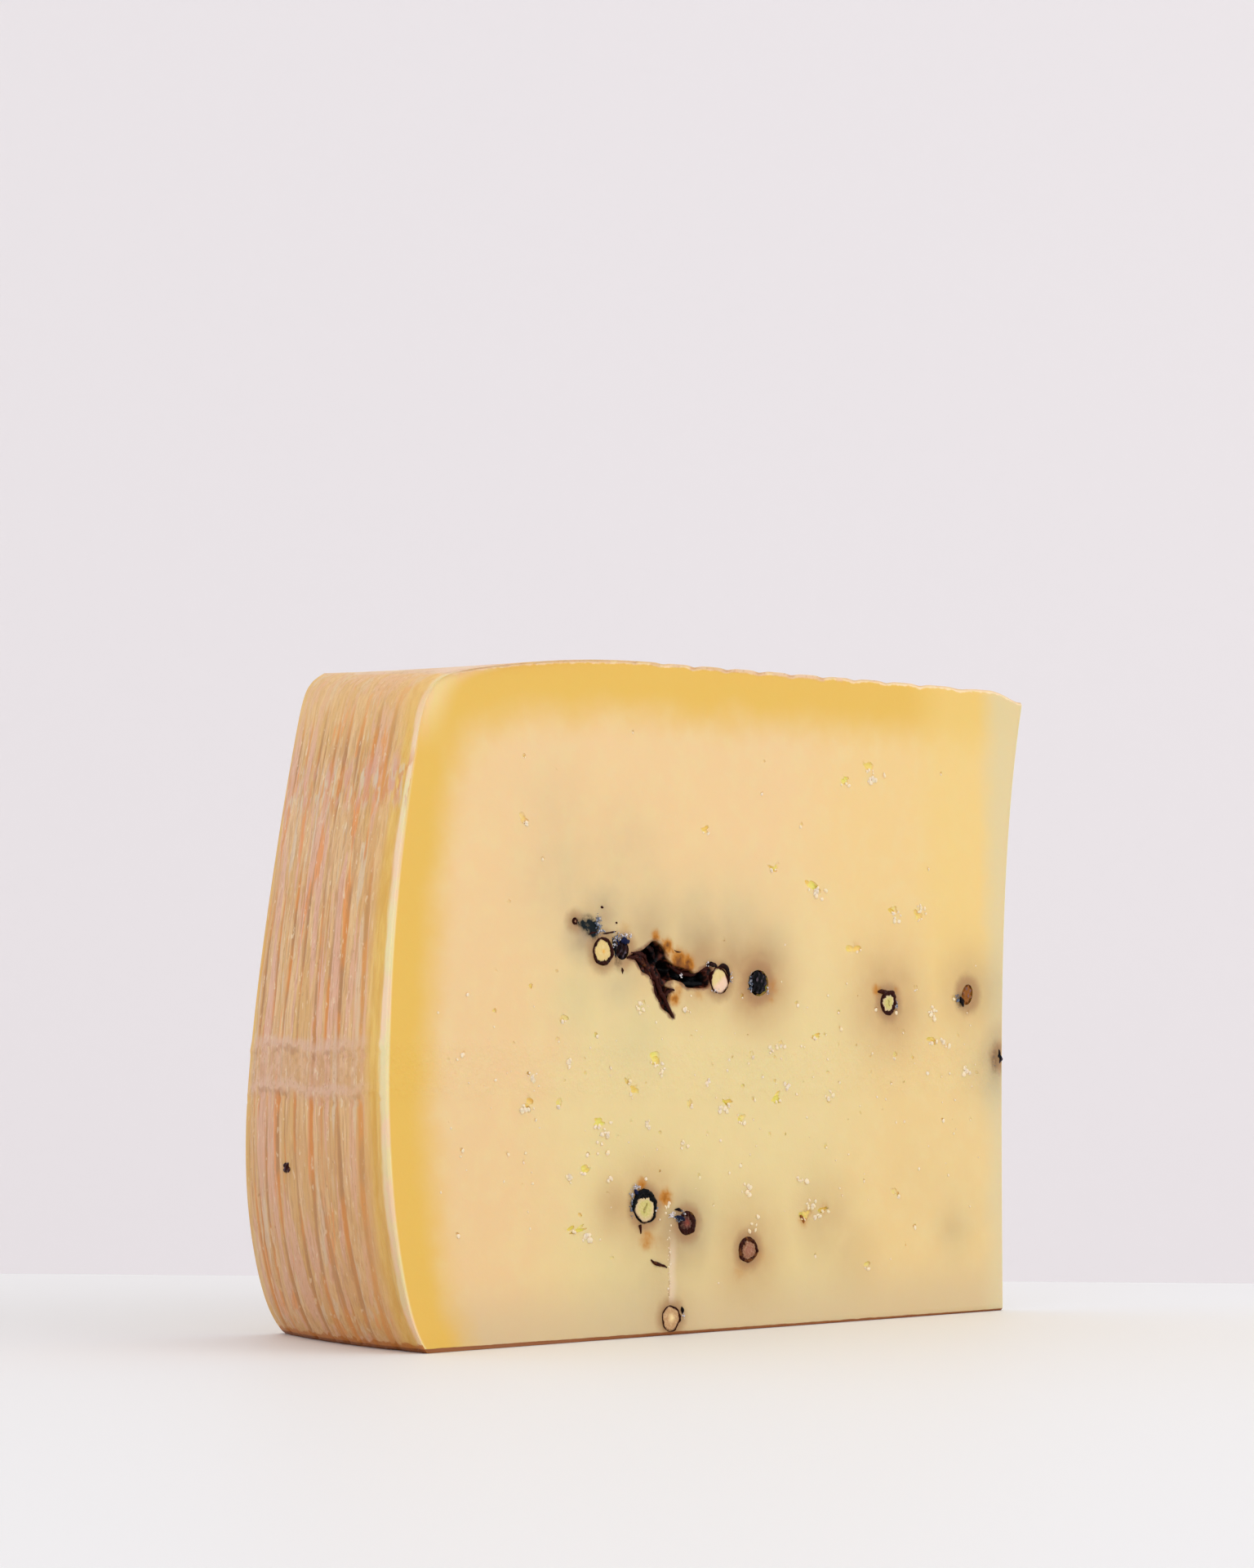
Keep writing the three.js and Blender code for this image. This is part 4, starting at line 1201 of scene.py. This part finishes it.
class Finish:
    """A material, whose nodes are added one by one in front of its shader. A colour is a wire, or
    red, green and blue as a screen shows them."""

    def __init__(self, name, **shader):
        self.material = bpy.data.materials.new(name)
        self.material.use_nodes = True
        self.tree = self.material.node_tree
        self.shader = self.tree.nodes["Principled BSDF"]
        self.set(shader)
        metres = self.node("ShaderNodeTexCoord", {}, "Object")
        inputs = {"Vector": metres, "Scale": (1000, 1000, 1000)}
        self.here = self.node("ShaderNodeMapping", inputs, "Vector")

    def set(self, sockets):
        for name, value in sockets.items():
            self.plug(value, self.shader.inputs[name.replace("_", " ")])

    def plug(self, value, socket):
        if isinstance(value, Wire):
            self.tree.links.new(value.socket, socket)
        else:
            socket.default_value = paint(*value) if socket.type == "RGBA" else value

    def node(self, kind, inputs, output, **settings):
        made = self.tree.nodes.new(kind)
        for key, value in settings.items():
            setattr(made, key, value)
        for key, value in inputs.items():
            self.plug(value, made.inputs[key])
        return Wire(self, made.outputs[output])

    def told(self, name):
        """A number stored at the vertices."""
        return self.node("ShaderNodeAttribute", {}, "Fac", attribute_name=name)

    def noise(self, pitch, detail=2.0, upright=1.0, rough=0.5):
        """A random pattern: its pitch in millimetres, drawn out upwards where upright is small."""
        drawn = {"Vector": self.here, "Scale": (1, 1, upright)}
        place = self.node("ShaderNodeMapping", drawn, "Vector")
        inputs = {"Vector": place, "Scale": 1 / pitch, "Detail": detail, "Roughness": rough}
        return self.node("ShaderNodeTexNoise", inputs, "Fac")

    def relief(self, height, depth, strength=1.0):
        """Bump on top of any bump there already; depth in millimetres."""
        inputs = {"Height": height, "Distance": depth * 0.001, "Strength": strength}
        normal = self.shader.inputs["Normal"]
        if normal.links:
            inputs["Normal"] = Wire(self, normal.links[0].from_socket)
        self.plug(self.node("ShaderNodeBump", inputs, "Normal"), normal)

    def wear(self, piece, **sockets):
        """Links the last colours and numbers to the shader and puts the material on a piece."""
        self.set(sockets)
        piece.data.materials.clear()
        piece.data.materials.append(self.material)


# ---- What the wedge's materials need to know ----

# Where the grains have coloured the paste: reach, height, how far it spreads, and how strongly.
NEAR_STAINS = (
    (110, 71, 6, 0.5), (97, 69, 7.5, 0.6), (84, 66, 7.5, 1.0), (69.5, 63.5, 8, 1.35),
    (76, 66, 7, 0.9), (33.3, 59.6, 9.5, 0.85), (10.5, 62, 8, 0.6), (0, 50, 6, 0.7),
    (98, 23, 8, 0.85), (105.5, 23, 5.5, 0.8), (90, 18.5, 8, 0.85), (72, 14.5, 9, 0.75),
    (91.9, 4, 6, 0.45), (52, 19.5, 8, 0.5), (44, 13, 7, 0.35), (14.7, 15.7, 4, 0.28),
    (46.8, 18, 5, 0.3), (112.6, 74.0, 3, 0.5), (94, 12, 6, 0.35),
)
# Greyish clouds in the paste, in the same order.
SMOKE = (
    (113.8, 71.0, 4.5, 0.5), (105.5, 62.8, 5.5, 0.22), (108.5, 75.5, 5.5, 0.32), (97, 74, 9, 0.2),
    (86, 74, 8.5, 0.2), (76, 74, 9, 0.16), (118, 80, 11, 0.17), (104, 84, 11, 0.13),
    (120, 92, 10, 0.1), (101, 54, 8, 0.1), (88, 19, 7, 0.3), (14, 17, 8, 0.1), (3, 47, 8, 0.24),
    (3, 62, 7, 0.14), (115, 60, 7, 0.1), (100, 8, 12, 0.1), (66, 70, 6, 0.12),
)
# Clear amber patches, where the paste beside a grain is thin: reach, height, spread, strength.
AMBER = (
    (89.8, 66.7, 1.9, 2.3), (87.6, 66.2, 1.7, 2.0), (92.8, 69.3, 1.4, 1.8), (91.0, 59.8, 1.6, 1.4),
    (90.0, 61.5, 1.3, 1.0), (99.2, 27.1, 1.1, 1.6), (93.2, 24.4, 1.6, 1.6), (98.0, 17.0, 1.8, 1.2),
    (31.0, 62.0, 1.0, 0.7), (65.2, 62.4, 2.2, 0.6), (36.6, 61.9, 1.4, 1.1), (57.2, 19.3, 1.4, 1.1),
    (95.7, 71.2, 1.2, 1.3), (65.6, 60.0, 1.4, 0.6), (84.6, 60.9, 1.8, 0.6), (103.2, 72.6, 1.8, 0.5),
    (74.0, 10.8, 2.6, 0.5), (68.5, 13.0, 2.4, 0.45), (31.5, 55.5, 3.0, 0.35),
    (94.5, 16.5, 2.4, 0.4), (55.6, 20.8, 1.4, 0.6), (51.4, 21.3, 1.8, 0.55), (42.3, 70.2, 1.8, 0.4),
    (115.6, 19.6, 1.8, 0.35),
)
# Dark smears veiled by the paste: reach, height, half lengths along and up, strength.
SMEARS = (
    (113.8, 73.1, 1.7, 0.9, 1.5), (112.4, 72.7, 1.6, 1.4, 2.0), (111.2, 72.0, 1.3, 1.6, 1.9),
    (2.2, 48.8, 1.7, 4.4, 0.5), (12.3, 60.1, 1.3, 1.4, 0.9), (105.2, 66.3, 1.0, 1.3, 0.8),
    (107.2, 71.2, 1.5, 0.6, 0.5), (97.8, 18.8, 2.4, 0.7, 0.3), (84.2, 20.2, 0.7, 1.2, 0.3),
)


def distance_to(point, rows):
    """The distance in millimetres to the nearest grain's rim."""
    nearest = np.full(len(point), 40.0)
    for side, row in rows:
        centre = CUTS[side](row[0], row[1])
        off = np.linalg.norm(point - centre, axis=1)
        nearest = np.minimum(nearest, off - (row[2] + row[3]) / 4)
    return nearest


def describe(mesh):
    """Stores at each vertex how deep it lies under the rind, in a pit or in a groove, and how near
    it is to a grain, a stain or the hollow."""
    point = places(mesh)
    height = point[:, 2]
    radius, across = wheel_place(point)
    arc = across * HEEL_ARC
    from_side = side_radius(height, across) + heel_relief(arc, height) - radius
    from_top = crown_height(point) - height
    on_side, on_top = from_side < SKIN_DEPTH, from_top < SKIN_DEPTH
    rind = on_side | on_top | (height < 0.2)
    softness = 3.0
    under_rind = -softness * np.log(np.exp(-from_side / softness) + np.exp(-from_top / softness))

    twist = lean(height) * (1 - (point @ NEAR_ALONG) / CUT_REACH)
    untwisted = point + twist[:, None] * NEAR_ALONG
    under_near = TIP_WIDTH / 2 - point @ NEAR_OUT
    under_far = TIP_WIDTH / 2 - untwisted @ FAR_OUT
    pit = np.clip(np.minimum(under_near, under_far), 0, None) * ~rind

    def spots(rows):
        """The strongest of the bells round places on the near face."""
        field = np.zeros(len(point))
        for place, level, spread, strength in rows:
            off = np.linalg.norm(point - near_face(place, level), axis=1)
            field = np.maximum(field, strength * bump(off, spread))
        return field

    stain = spots(NEAR_STAINS)
    for row in FAR_SLICED + FAR_WHOLE:
        off = np.linalg.norm(point - far_face(row[0], row[1]), axis=1)
        stain = np.maximum(stain, 0.7 * bump(off, 7.5))
    veil = np.zeros(len(point))
    reach = (point - near_face(0.0, 0.0)) @ NEAR_ALONG
    near = under_near < 3
    for place, level, along, up, strength in SMEARS:
        off = np.hypot((reach - place) / along, (height - level) / up)
        veil = np.maximum(veil, strength * bump(off, 1.0) * near)
    torn = np.full(len(point), -5.0)
    close = (under_near < 8) & (np.abs(reach - 92) < 15) & (np.abs(height - 63) < 10)
    torn[close] = inside_hollow(reach[close], height[close])
    grains = [("near", row) for row in NEAR_SLICED + NEAR_WHOLE]
    grains += [("far", row) for row in FAR_SLICED + FAR_WHOLE]
    lip_low, lip_high = lip_heights(arc)

    note(mesh, rind=rind, on_top=on_top, ring=ring_share(radius) * on_top, under_rind=under_rind,
         from_top=np.clip(from_top, 0, 20), under_side=from_side, pit=pit, arc=arc,
         groove=np.clip(groove_share(arc, height), 0, 1) * on_side, over_low=height - lip_low,
         over_high=height - lip_high, veil=veil, stain=stain, smoke=spots(SMOKE),
         amber=spots(AMBER), from_grain=distance_to(point, grains), torn=torn,
         reach=np.where(near, reach, -50.0), from_tip=reach)


# ---- Finishes ----


def paste_colour(look, height):
    """The cut cheese: yellow under the rind, rosy and pale further in, greyer at the tip, greyer at
    the base with painted shade near the table, and a painted highlight along the top edge. Gives
    that colour and the cream of its edge along the rind, which is partly a painted highlight on the
    rounded edge."""
    from_tip, under_side = look.told("from_tip"), look.told("under_side")
    cloud = from_tip + look.noise(20, 3) * 24
    upper = look.noise(22, 3).mix((242, 206, 151), (238, 203, 145))
    upper = upper.coats(cloud.ramp(80, 48, 0, 0.8), (241, 207, 136))
    lower = look.noise(14, 3).mix((236, 210, 150), (228, 211, 150))
    lower = lower.coats(cloud.ramp(66, 44, 0, 0.8), (237, 204, 138),
                        cloud.ramp(124, 142, 0, 0.85), (238, 201, 146))
    wobble = (look.noise(9, 3) - 0.5) * 5.0
    pale = from_tip + wobble
    # A painted highlight: a pale strip just under the top edge, where the bevel catches the light.
    painted_top_highlight = look.told("from_top") + look.noise(1.6, 3) * 0.9
    # The cream edge along the rind: partly the rind's pale edge, partly a painted highlight on the
    # rounded cut edge. The wider pale patch at the upper corner, the shoulder, is painted
    # highlight.
    cream = look.noise(5, 3, 0.5).ramp(0.42, 0.58).mix((255, 224, 190), (246, 234, 182))
    line = under_side.ramp(0.9, 0.3, 0, 0.8) * height.ramp(112, 70, 0.3, 1.0)
    shoulder = under_side.ramp(8, 1, 0, 0.5) * height.ramp(100, 112)
    return height.ramp(95, 50).mix(upper, lower).coats(
        look.noise(4.5, 4).ramp(0.4, 0.75, 0, 0.35), (237, 216, 155),
        # Painted shade: the paste greyer in its lowest 14 mm, near the table.
        height.ramp(14, 1, 0, 0.75), (214, 190, 148),
        (look.told("under_rind") + wobble).ramp(15, 4.5), (232, 189, 82),
        line.most(shoulder), cream,
        pale.ramp(30, 15, 0, 0.6) * height.ramp(50, 75), (241, 208, 124),
        pale.ramp(7.5, 0.5, 0, 0.75), (222, 208, 162),
        painted_top_highlight.ramp(1.2, 0.8, 0, 0.85), (254, 226, 188)), cream


def stained_colour(look, height, colour):
    """The paste where grains and air have reached it: brown stains, grey clouds, clear amber, dark
    smears under the surface, the crack with pale cheese beside it and a dark line of painted shade
    down it, the pits with walls in yellow-green painted shade, and the hollow, lined with dark skin
    that turns black deeper in with painted shade, with a painted teal sheen. Gives the colour, how
    far a place is inside the hollow, and how clear or dark it is."""
    fine = look.noise(1.3, 4)
    stain = look.told("stain") * look.noise(6, 3).ramp(0.1, 0.9, 0.75, 1.2)
    smoke = look.told("smoke") * look.noise(5, 3).ramp(0.2, 0.8, 0.75, 1.3)
    amber = look.told("amber") * fine.ramp(0.3, 0.7, 0.75, 1.2)
    veil = look.told("veil") * look.noise(0.9, 4).ramp(0.3, 0.6, 0.6, 1.2)
    colour = colour.coats(
        stain, (194, 155, 102),
        smoke, smoke.ramp(0.15, 0.45).mix((138, 148, 128), (124, 108, 98)),
        (look.told("from_grain") + fine).ramp(2.9, 0.5, 0, 0.75), (165, 120, 74),
        amber.ramp(0.1, 1.3, 0, 0.95), amber.ramp(0.9, 2.0).mix((190, 118, 24), (108, 54, 8)),
        veil.ramp(0.05, 1.2), veil.ramp(0.4, 1.2).mix((74, 74, 66), (8, 22, 26)))

    base, top = CRACK_HEIGHTS
    aside = look.told("reach") - CRACK_REACH + (look.noise(3, 3) - 0.5) * 1.2
    along = height.ramp(base, base + 2) * height.ramp(top, top - 7)
    beside = aside.ramp(0.2, -0.2) * aside.ramp(-2.4, -0.6) * (along * 0.5)
    # The crack is painted only, with no cut in the surface: its dark line is painted shade.
    crack_shade_line = abs(aside).ramp(0.28, 0.08) * (along * fine.ramp(0.4, 0.6)) * 0.7

    pit, torn = look.told("pit"), look.told("torn")
    wine = look.noise(0.8, 4).ramp(0.42, 0.68).mix((20, 6, 4), (100, 48, 34))
    # Deeper in the hollow the skin turns black: the dark skin lining it, with painted shade that
    # grows with depth and a painted teal sheen.
    black = look.noise(1.5, 3).ramp(0.5, 0.75).mix((5, 3, 3), (16, 24, 28))
    # Painted shade: the pits' walls yellow-green, as shade looks in the translucent paste.
    shade = look.noise(3, 2).ramp(0.4, 0.6).mix((240, 234, 116), (250, 218, 118))
    inside = torn.ramp(-0.1, 0.15) * pit.ramp(0.05, 0.35)
    colour = colour.coats(
        beside, (240, 218, 192),
        crack_shade_line, (176, 136, 84),
        pit.ramp(0.06, 0.4, 0, 0.9), shade,
        (torn + (fine - 0.5) * 1.2).ramp(-0.7, 0.0, 0, 0.8), (112, 58, 22),
        inside, pit.ramp(0.8, 1.7).mix(wine, black))
    return colour, inside, amber.ramp(0.2, 0.9).most(veil.ramp(0.1, 0.7)).most(inside)


def rind_colour(look, height, cream):
    """The rind: upright streaks in five tones, darker grooves partly in painted shade, the scuffed
    broken ring between its two lips with a painted highlight over each lip and a painted shadow
    line under it, specks, yellow borders at the cuts, the cream edge that is partly a painted
    highlight, a fringed shoulder, darker towards the base partly with painted shade, and the ringed
    top. Gives that colour, its streaks and threads, and where the ring is."""
    streak, thread = look.noise(1.4, 4, 0.1, 0.65), look.noise(0.55, 3, 0.06, 0.6)
    skin = streak.ramp(0.35, 0.68).mix((238, 198, 142), (218, 168, 108))
    for pitch, upright, low, share, shade in ((4.2, 0.06, 0.50, 0.8, (230, 178, 150)),
                                              (4.4, 0.08, 0.54, 0.7, (220, 172, 98)),
                                              (3.4, 0.07, 0.59, 0.8, (226, 202, 168)),
                                              (3.2, 0.07, 0.60, 0.8, (238, 152, 70))):
        skin = skin.coats(look.noise(pitch, 3, upright).ramp(low, low + 0.06, 0, share), shade)

    over_low, over_high = look.told("over_low"), look.told("over_high")
    broken = over_low.ramp(-2.5, 0.5) * over_high.ramp(2.5, -0.5)
    skin = skin.coats(
        thread.ramp(0.5, 0.63, 0, 0.45), (186, 132, 80),
        # The grooves painted darker and more orange: partly the rind's colour there, partly painted
        # shade in them.
        look.told("groove").ramp(0.1, 0.5, 0, 0.95),
        look.noise(5, 2, 0.5).ramp(0.4, 0.6).mix((226, 146, 66), (190, 138, 86)),
        broken * 0.5, look.noise(2.6, 5).ramp(0.4, 0.62).mix((226, 182, 146), (206, 152, 104)))
    crumble = (look.noise(2.6, 5) - 0.5) * 3.2
    patchy = look.noise(5.5, 4).ramp(0.5, 0.6)
    # Along each lip, a painted highlight on the ledge just above it and a painted shadow line, in
    # patches, just below it.
    for over in (over_low, over_high):
        off = over + crumble
        skin = skin.coats(off.ramp(2.6, 1.0) * off.ramp(-0.6, 0.6) * 0.6, (228, 188, 160),
                          abs(off + 0.3).ramp(0.9, 0.2) * patchy * 0.4, (166, 112, 72))

    yellow = streak.ramp(0.35, 0.65).mix((242, 202, 104), (228, 178, 72))
    ragged = look.told("arc") + look.noise(3, 3, 0.2) * 3.0
    skin = skin.coats(
        broken * look.noise(0.9, 4).ramp(0.52, 0.68) * 0.5, (196, 150, 104),
        look.noise(1.2, 3, 0.8).ramp(0.68, 0.75, 0, 0.45), (168, 112, 64),
        look.noise(0.8, 3, 0.4).ramp(0.61, 0.70, 0, 0.6), (246, 224, 186),
        ragged.ramp(17, 6, 0, 0.4), (240, 192, 116),
        ragged.ramp(8.5, 5.5, 0, 0.9), yellow,
        ragged.ramp(55, 57.5, 0, 0.6), yellow,
        # The cream edge, partly painted highlight, goes on over the rind's first millimetres from
        # the near cut.
        ragged.ramp(3.9, 2.8, 0, 0.9), cream)
    tops = height.ramp(90, 95) * height.ramp(103, 98)
    for pitch, shade in ((1.8, (224, 206, 174)), (2.1, (226, 164, 138)), (1.5, (224, 148, 76))):
        skin = skin.coats(look.noise(pitch, 3, 0.22).ramp(0.55, 0.62, 0, 0.7) * tops, shade)
    crown = look.noise(7, 5).ramp(0.38, 0.66).mix((240, 206, 172), (232, 192, 146)).coats(
        look.noise(1.1, 4).ramp(0.56, 0.72, 0, 0.6), (206, 158, 106),
        look.told("ring").ramp(0.2, 0.9, 0, 0.6), (208, 156, 104))
    skin = skin.coats(height.ramp(100, 113, 0, 0.5), (246, 200, 126),
                      # Darker and browner towards the base: partly a browner rind, partly painted
                      # shade near the table.
                      height.ramp(60, 0, 0, 0.42), (184, 134, 82),
                      look.told("on_top"), crown)
    return skin, streak, thread, broken


def finish_cheese(piece):
    """The paste and the rind, both browned at the foot, which is partly the rind's own colour and
    partly painted contact shadow: thinly under the cut faces, thicker and raggedly under the heel."""
    look = Finish("pecorino_paste_and_rind", Subsurface_Radius=(1.0, 0.45, 0.15),
                  Subsurface_Scale=0.0025)
    height = look.node("ShaderNodeSeparateXYZ", {0: look.here}, "Z")
    rind = look.told("rind")
    colour, cream = paste_colour(look, height)
    colour, inside, solid = stained_colour(look, height, colour)
    skin, streak, thread, broken = rind_colour(look, height, cream)
    # The brown foot: partly the rind's own colour, partly painted contact shadow where the cheese
    # meets the table.
    ragged_foot_and_shadow = height - look.noise(1.6, 4) * 2.6
    thin_foot_and_shadow = height - look.told("from_tip") * 0.0022 + look.noise(3, 3) * 0.25
    colour = colour.coats(rind, skin,
                          ragged_foot_and_shadow.ramp(0.25, -0.1, 0, 0.9) * rind, (186, 112, 34),
                          thin_foot_and_shadow.ramp(0.55, 0.4), (146, 80, 18))
    look.relief(look.noise(0.35, 3), 0.05, 0.5)
    look.relief(look.noise(3.0, 3), 0.12, 0.6)
    look.relief(streak * rind, 0.25, 0.7)
    look.relief(thread * rind, 0.15, 0.6)
    look.relief(look.noise(1.4, 4) * broken, 0.4, 0.7)
    look.wear(piece, Base_Color=colour, Roughness=inside.ramp(0, 1, 0.5, 0.3),
              Specular_IOR_Level=solid.ramp(0, 1, 0.5, 0.12),
              Subsurface_Weight=solid.ramp(0, 1, 0.25, 0))


def finish_husks(piece):
    """Blue-black to brown skins, dusty in places, with a painted highlight on the ridges: greyer
    there.
    """
    look = Finish("peppercorn_skin", Roughness=0.4, Specular_IOR_Level=0.06)
    tone = look.told("tone")
    hue = tone + (look.noise(1.2, 3) - 0.5)
    colour = hue.ramp(0.1, 0.7).mix((7, 9, 12), (50, 16, 10)).coats(
        hue.ramp(1.0, 1.45), (152, 94, 42),
        tone.ramp(-0.15, -0.4), (24, 30, 62),
        look.noise(0.5, 3).ramp(0.6, 0.75, 0, 0.4) * hue.ramp(0, 0.8), (104, 66, 52),
        # A painted highlight: grey on the whole grains' ridges, where their net of ridges catches
        # the light.
        look.told("ridge") * look.noise(1.6, 2).ramp(0.45, 0.65, 0.1, 0.7), (112, 98, 112))
    look.relief(look.noise(0.3, 3), 0.08)
    look.wear(piece, Base_Color=colour)


def finish_cores(piece):
    """Cut middles in six tones, each paler or darker towards the rim, with an olive slit."""
    look = Finish("peppercorn_middle", Roughness=0.55, Specular_IOR_Level=0.25,
                  Subsurface_Weight=0.2, Subsurface_Radius=(1.0, 0.5, 0.25),
                  Subsurface_Scale=0.0008)
    tone, mid = look.told("tone"), look.told("mid")
    pale = mid.ramp(0.05, 0.3).mix((238, 184, 84), (228, 200, 130))
    green = mid.ramp(0.45, 0.9).mix((206, 196, 116), (220, 194, 148))
    cream = look.told("side").ramp(-0.3, 0.25).mix((244, 208, 180), (230, 206, 142))
    tan = mid.ramp(0.0, 0.55).mix((250, 224, 166), (198, 156, 110))
    brown = mid.ramp(0.1, 0.9).mix((160, 104, 80), (146, 96, 68))
    dark = mid.ramp(0.0, 0.8).mix((132, 54, 40), (70, 30, 22))
    slit = look.told("slit").ramp(0.2, 0.95, 0, 0.85)
    colour = tone.ramp(0.15, 0.25).mix(pale, green).coats(
        tone.ramp(0.0, -0.2), cream,
        tone.ramp(0.48, 0.58), tan,
        tone.ramp(0.65, 0.75), brown,
        tone.ramp(0.82, 0.95), dark,
        (mid + look.noise(0.5, 2) * 0.12).ramp(0.88, 1.05), (104, 56, 34),
        slit * (tone.ramp(0.1, 0.28, 0.1, 1.0) * tone.ramp(0.55, 0.42, 0, 1)), (138, 120, 30),
        look.noise(0.35, 3).ramp(0.45, 0.7, 0, 0.35) * tone.ramp(0.6, 0.9, 1, 0.3), (244, 218, 172))
    look.relief(look.noise(0.25, 2), 0.06)
    look.wear(piece, Base_Color=colour)


def finish_bloom(piece):
    """Powder from white to slate blue."""
    look = Finish("mould_bloom", Roughness=0.8)
    tone = look.told("tone") + (look.noise(0.9, 2) - 0.5)
    look.wear(piece, Base_Color=tone.ramp(0.0, 0.9).mix((226, 220, 222), (84, 98, 118)))


def finish_crumbs_and_highlights(piece):
    """Curd a little paler than the paste round it; on the eyes' lower lips it is partly painted
    highlight.
    """
    look = Finish("curd_crumbs_and_highlights", Roughness=0.55, Subsurface_Weight=0.3,
                  Subsurface_Radius=(1.0, 0.6, 0.3), Subsurface_Scale=0.001)
    look.relief(look.noise(0.3, 2), 0.05)
    look.wear(piece, Base_Color=look.noise(2.0, 2).mix((255, 233, 210), (250, 220, 164)))


# ---- Camera, lights and stage ----

EYE = np.array([-419.6, -592.8, 52.7])
PITCH = 3.72  # degrees above level
HEADING = -34.43  # degrees from looking along +Y
LENS = 90
CLIP_START = 0.05

EDGE_DEPTHS = (891.0, 855.0)  # from the camera to the table's back edge, at the picture's two sides
HALF_PICTURE = 0.16  # half the picture's width for each unit of depth
STEP_DOWN = 160.0  # from the table to the lower floor behind it
WALL_BEHIND = 1600.0  # from the table's back edge to the wall
TABLE_CLEARANCE = 0.05
TABLE_SIZE = 2600.0  # towards the camera, and to each side
TABLE_ROUND = 3.0  # the radius of its back edge
WALL_SIZE = (3600.0, 2600.0)  # to each side, and high
WALL_ROUND = 30.0  # the radius between the lower floor and the wall
STAGE_EDGE_TURN = 50

KEY_PLACE = (0.55, -1.15, 0.95)  # in metres, as is the place that the light is turned to
KEY_AIM = (0.0, 0.0, 0.06)
KEY_SIZE = 1.0
KEY_POWER = 4.5
KEY_COLOUR = (1.0, 0.98, 0.95)
ROOM_COLOUR = (0.97, 0.95, 0.97, 1)
ROOM_STRENGTH = 0.93


def camera():
    """A long lens at the place worked out from the photograph's upright and level edges."""
    view = bpy.data.cameras.new("camera")
    view.lens = LENS
    view.clip_start = CLIP_START
    seat = shown("camera", view)
    seat.location = Vector(EYE * 0.001)
    seat.rotation_euler = Euler((math.radians(90 + PITCH), 0, math.radians(HEADING)))
    bpy.context.scene.camera = seat


def swept(name, profile, half_width, colour):
    """A stage surface: a profile of (distance behind the table's back edge, height), carried along
    that edge."""
    turn = math.radians(HEADING)
    ahead = np.array([-math.sin(turn), math.cos(turn), 0])
    right = np.array([math.cos(turn), math.sin(turn), 0])
    eye = EYE * [1, 1, 0]
    left_end, right_end = [eye + depth * (ahead + side * HALF_PICTURE * right)
                           for depth, side in zip(EDGE_DEPTHS, (-1, 1))]
    along = (right_end - left_end) / np.linalg.norm(right_end - left_end)
    behind = np.cross(UP, along)
    middle = (left_end + right_end) / 2
    profile = np.array(profile)
    line = middle + profile[:, :1] * behind + profile[:, 1:] * UP
    points = np.stack([line - half_width * along, line + half_width * along], 1) * 0.001
    rows = np.arange(len(profile) - 1)[:, None] * 2
    quads = rows + np.array([[0, 1, 3, 2]])
    mesh = bpy.data.meshes.new(name)
    mesh.from_pydata(points.reshape(-1, 3).tolist(), [], quads.tolist())
    mesh.shade_smooth()
    mesh.set_sharp_from_angle(angle=math.radians(STAGE_EDGE_TURN))
    piece = shown(name, mesh)
    Finish(name, Base_Color=colour, Roughness=0.6).wear(piece)


def stage():
    """A table with a rounded back edge, and behind it a lower floor that curves up into a wall.
    The floor's last place is there twice, which keeps its shading flat up to the curve."""
    arc = np.linspace(0, math.pi / 2, 7)
    sine, fall = np.sin(arc), 1 - np.cos(arc)
    rounding = TABLE_ROUND * np.stack([sine - 1, -fall], -1) - [0, TABLE_CLEARANCE]
    top = [(-TABLE_SIZE, -TABLE_CLEARANCE), *rounding, (0, -STEP_DOWN)]
    swept("studio_table", top, TABLE_SIZE, (244, 245, 245))
    bend = WALL_ROUND * np.stack([sine - 1, fall], -1) + [WALL_BEHIND, -STEP_DOWN]
    wall = [(0, -STEP_DOWN), bend[0], *bend, (WALL_BEHIND, WALL_SIZE[1])]
    swept("studio_wall", wall, WALL_SIZE[0], (245, 242, 243))


def lights():
    """One large square lamp at the camera's right, and an even light from all round."""
    lamp = bpy.data.lights.new("key", "AREA")
    lamp.shape = "SQUARE"
    lamp.size = KEY_SIZE
    lamp.energy = KEY_POWER
    lamp.color = KEY_COLOUR
    holder = shown("key", lamp)
    holder.location = Vector(KEY_PLACE)
    beam = Vector(KEY_AIM) - Vector(KEY_PLACE)
    holder.rotation_euler = beam.to_track_quat("-Z", "Y").to_euler()
    holder.visible_camera = False
    world = bpy.data.worlds.new("studio")
    world.use_nodes = True
    world.node_tree.nodes["Background"].inputs["Color"].default_value = ROOM_COLOUR
    world.node_tree.nodes["Background"].inputs["Strength"].default_value = ROOM_STRENGTH
    bpy.context.scene.world = world
    bpy.context.scene.view_settings.view_transform = "Standard"


# ---- The whole ----

camera()
lights()
stage()

pits = {"near": fine_pits("near", 100, NEAR_EYES, NEAR_SLICED + NEAR_WHOLE, 23),
        "far": fine_pits("far", 50, FAR_EYES, FAR_SLICED + FAR_WHOLE, 25)}

wedge = shown("pecorino_wedge_dressed", wedge_mesh())
cutters = eye_cutters("near", NEAR_EYES, 21) + eye_cutters("far", FAR_EYES, 27)
cutters += [pit_cutter("near", pits["near"], 29), pit_cutter("far", pits["far"], 33)]
carve(wedge, cutters + [hollow_cutter()] + socket_cutters())
describe(wedge.data)
settle(wedge)
finish_cheese(wedge)
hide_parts("pecorino_wedge")

finish_husks(make_husks())
finish_husks(make_shreds())
finish_cores(make_cores())
finish_bloom(make_bloom())
finish_crumbs_and_highlights(make_crumbs_and_highlights(pits))
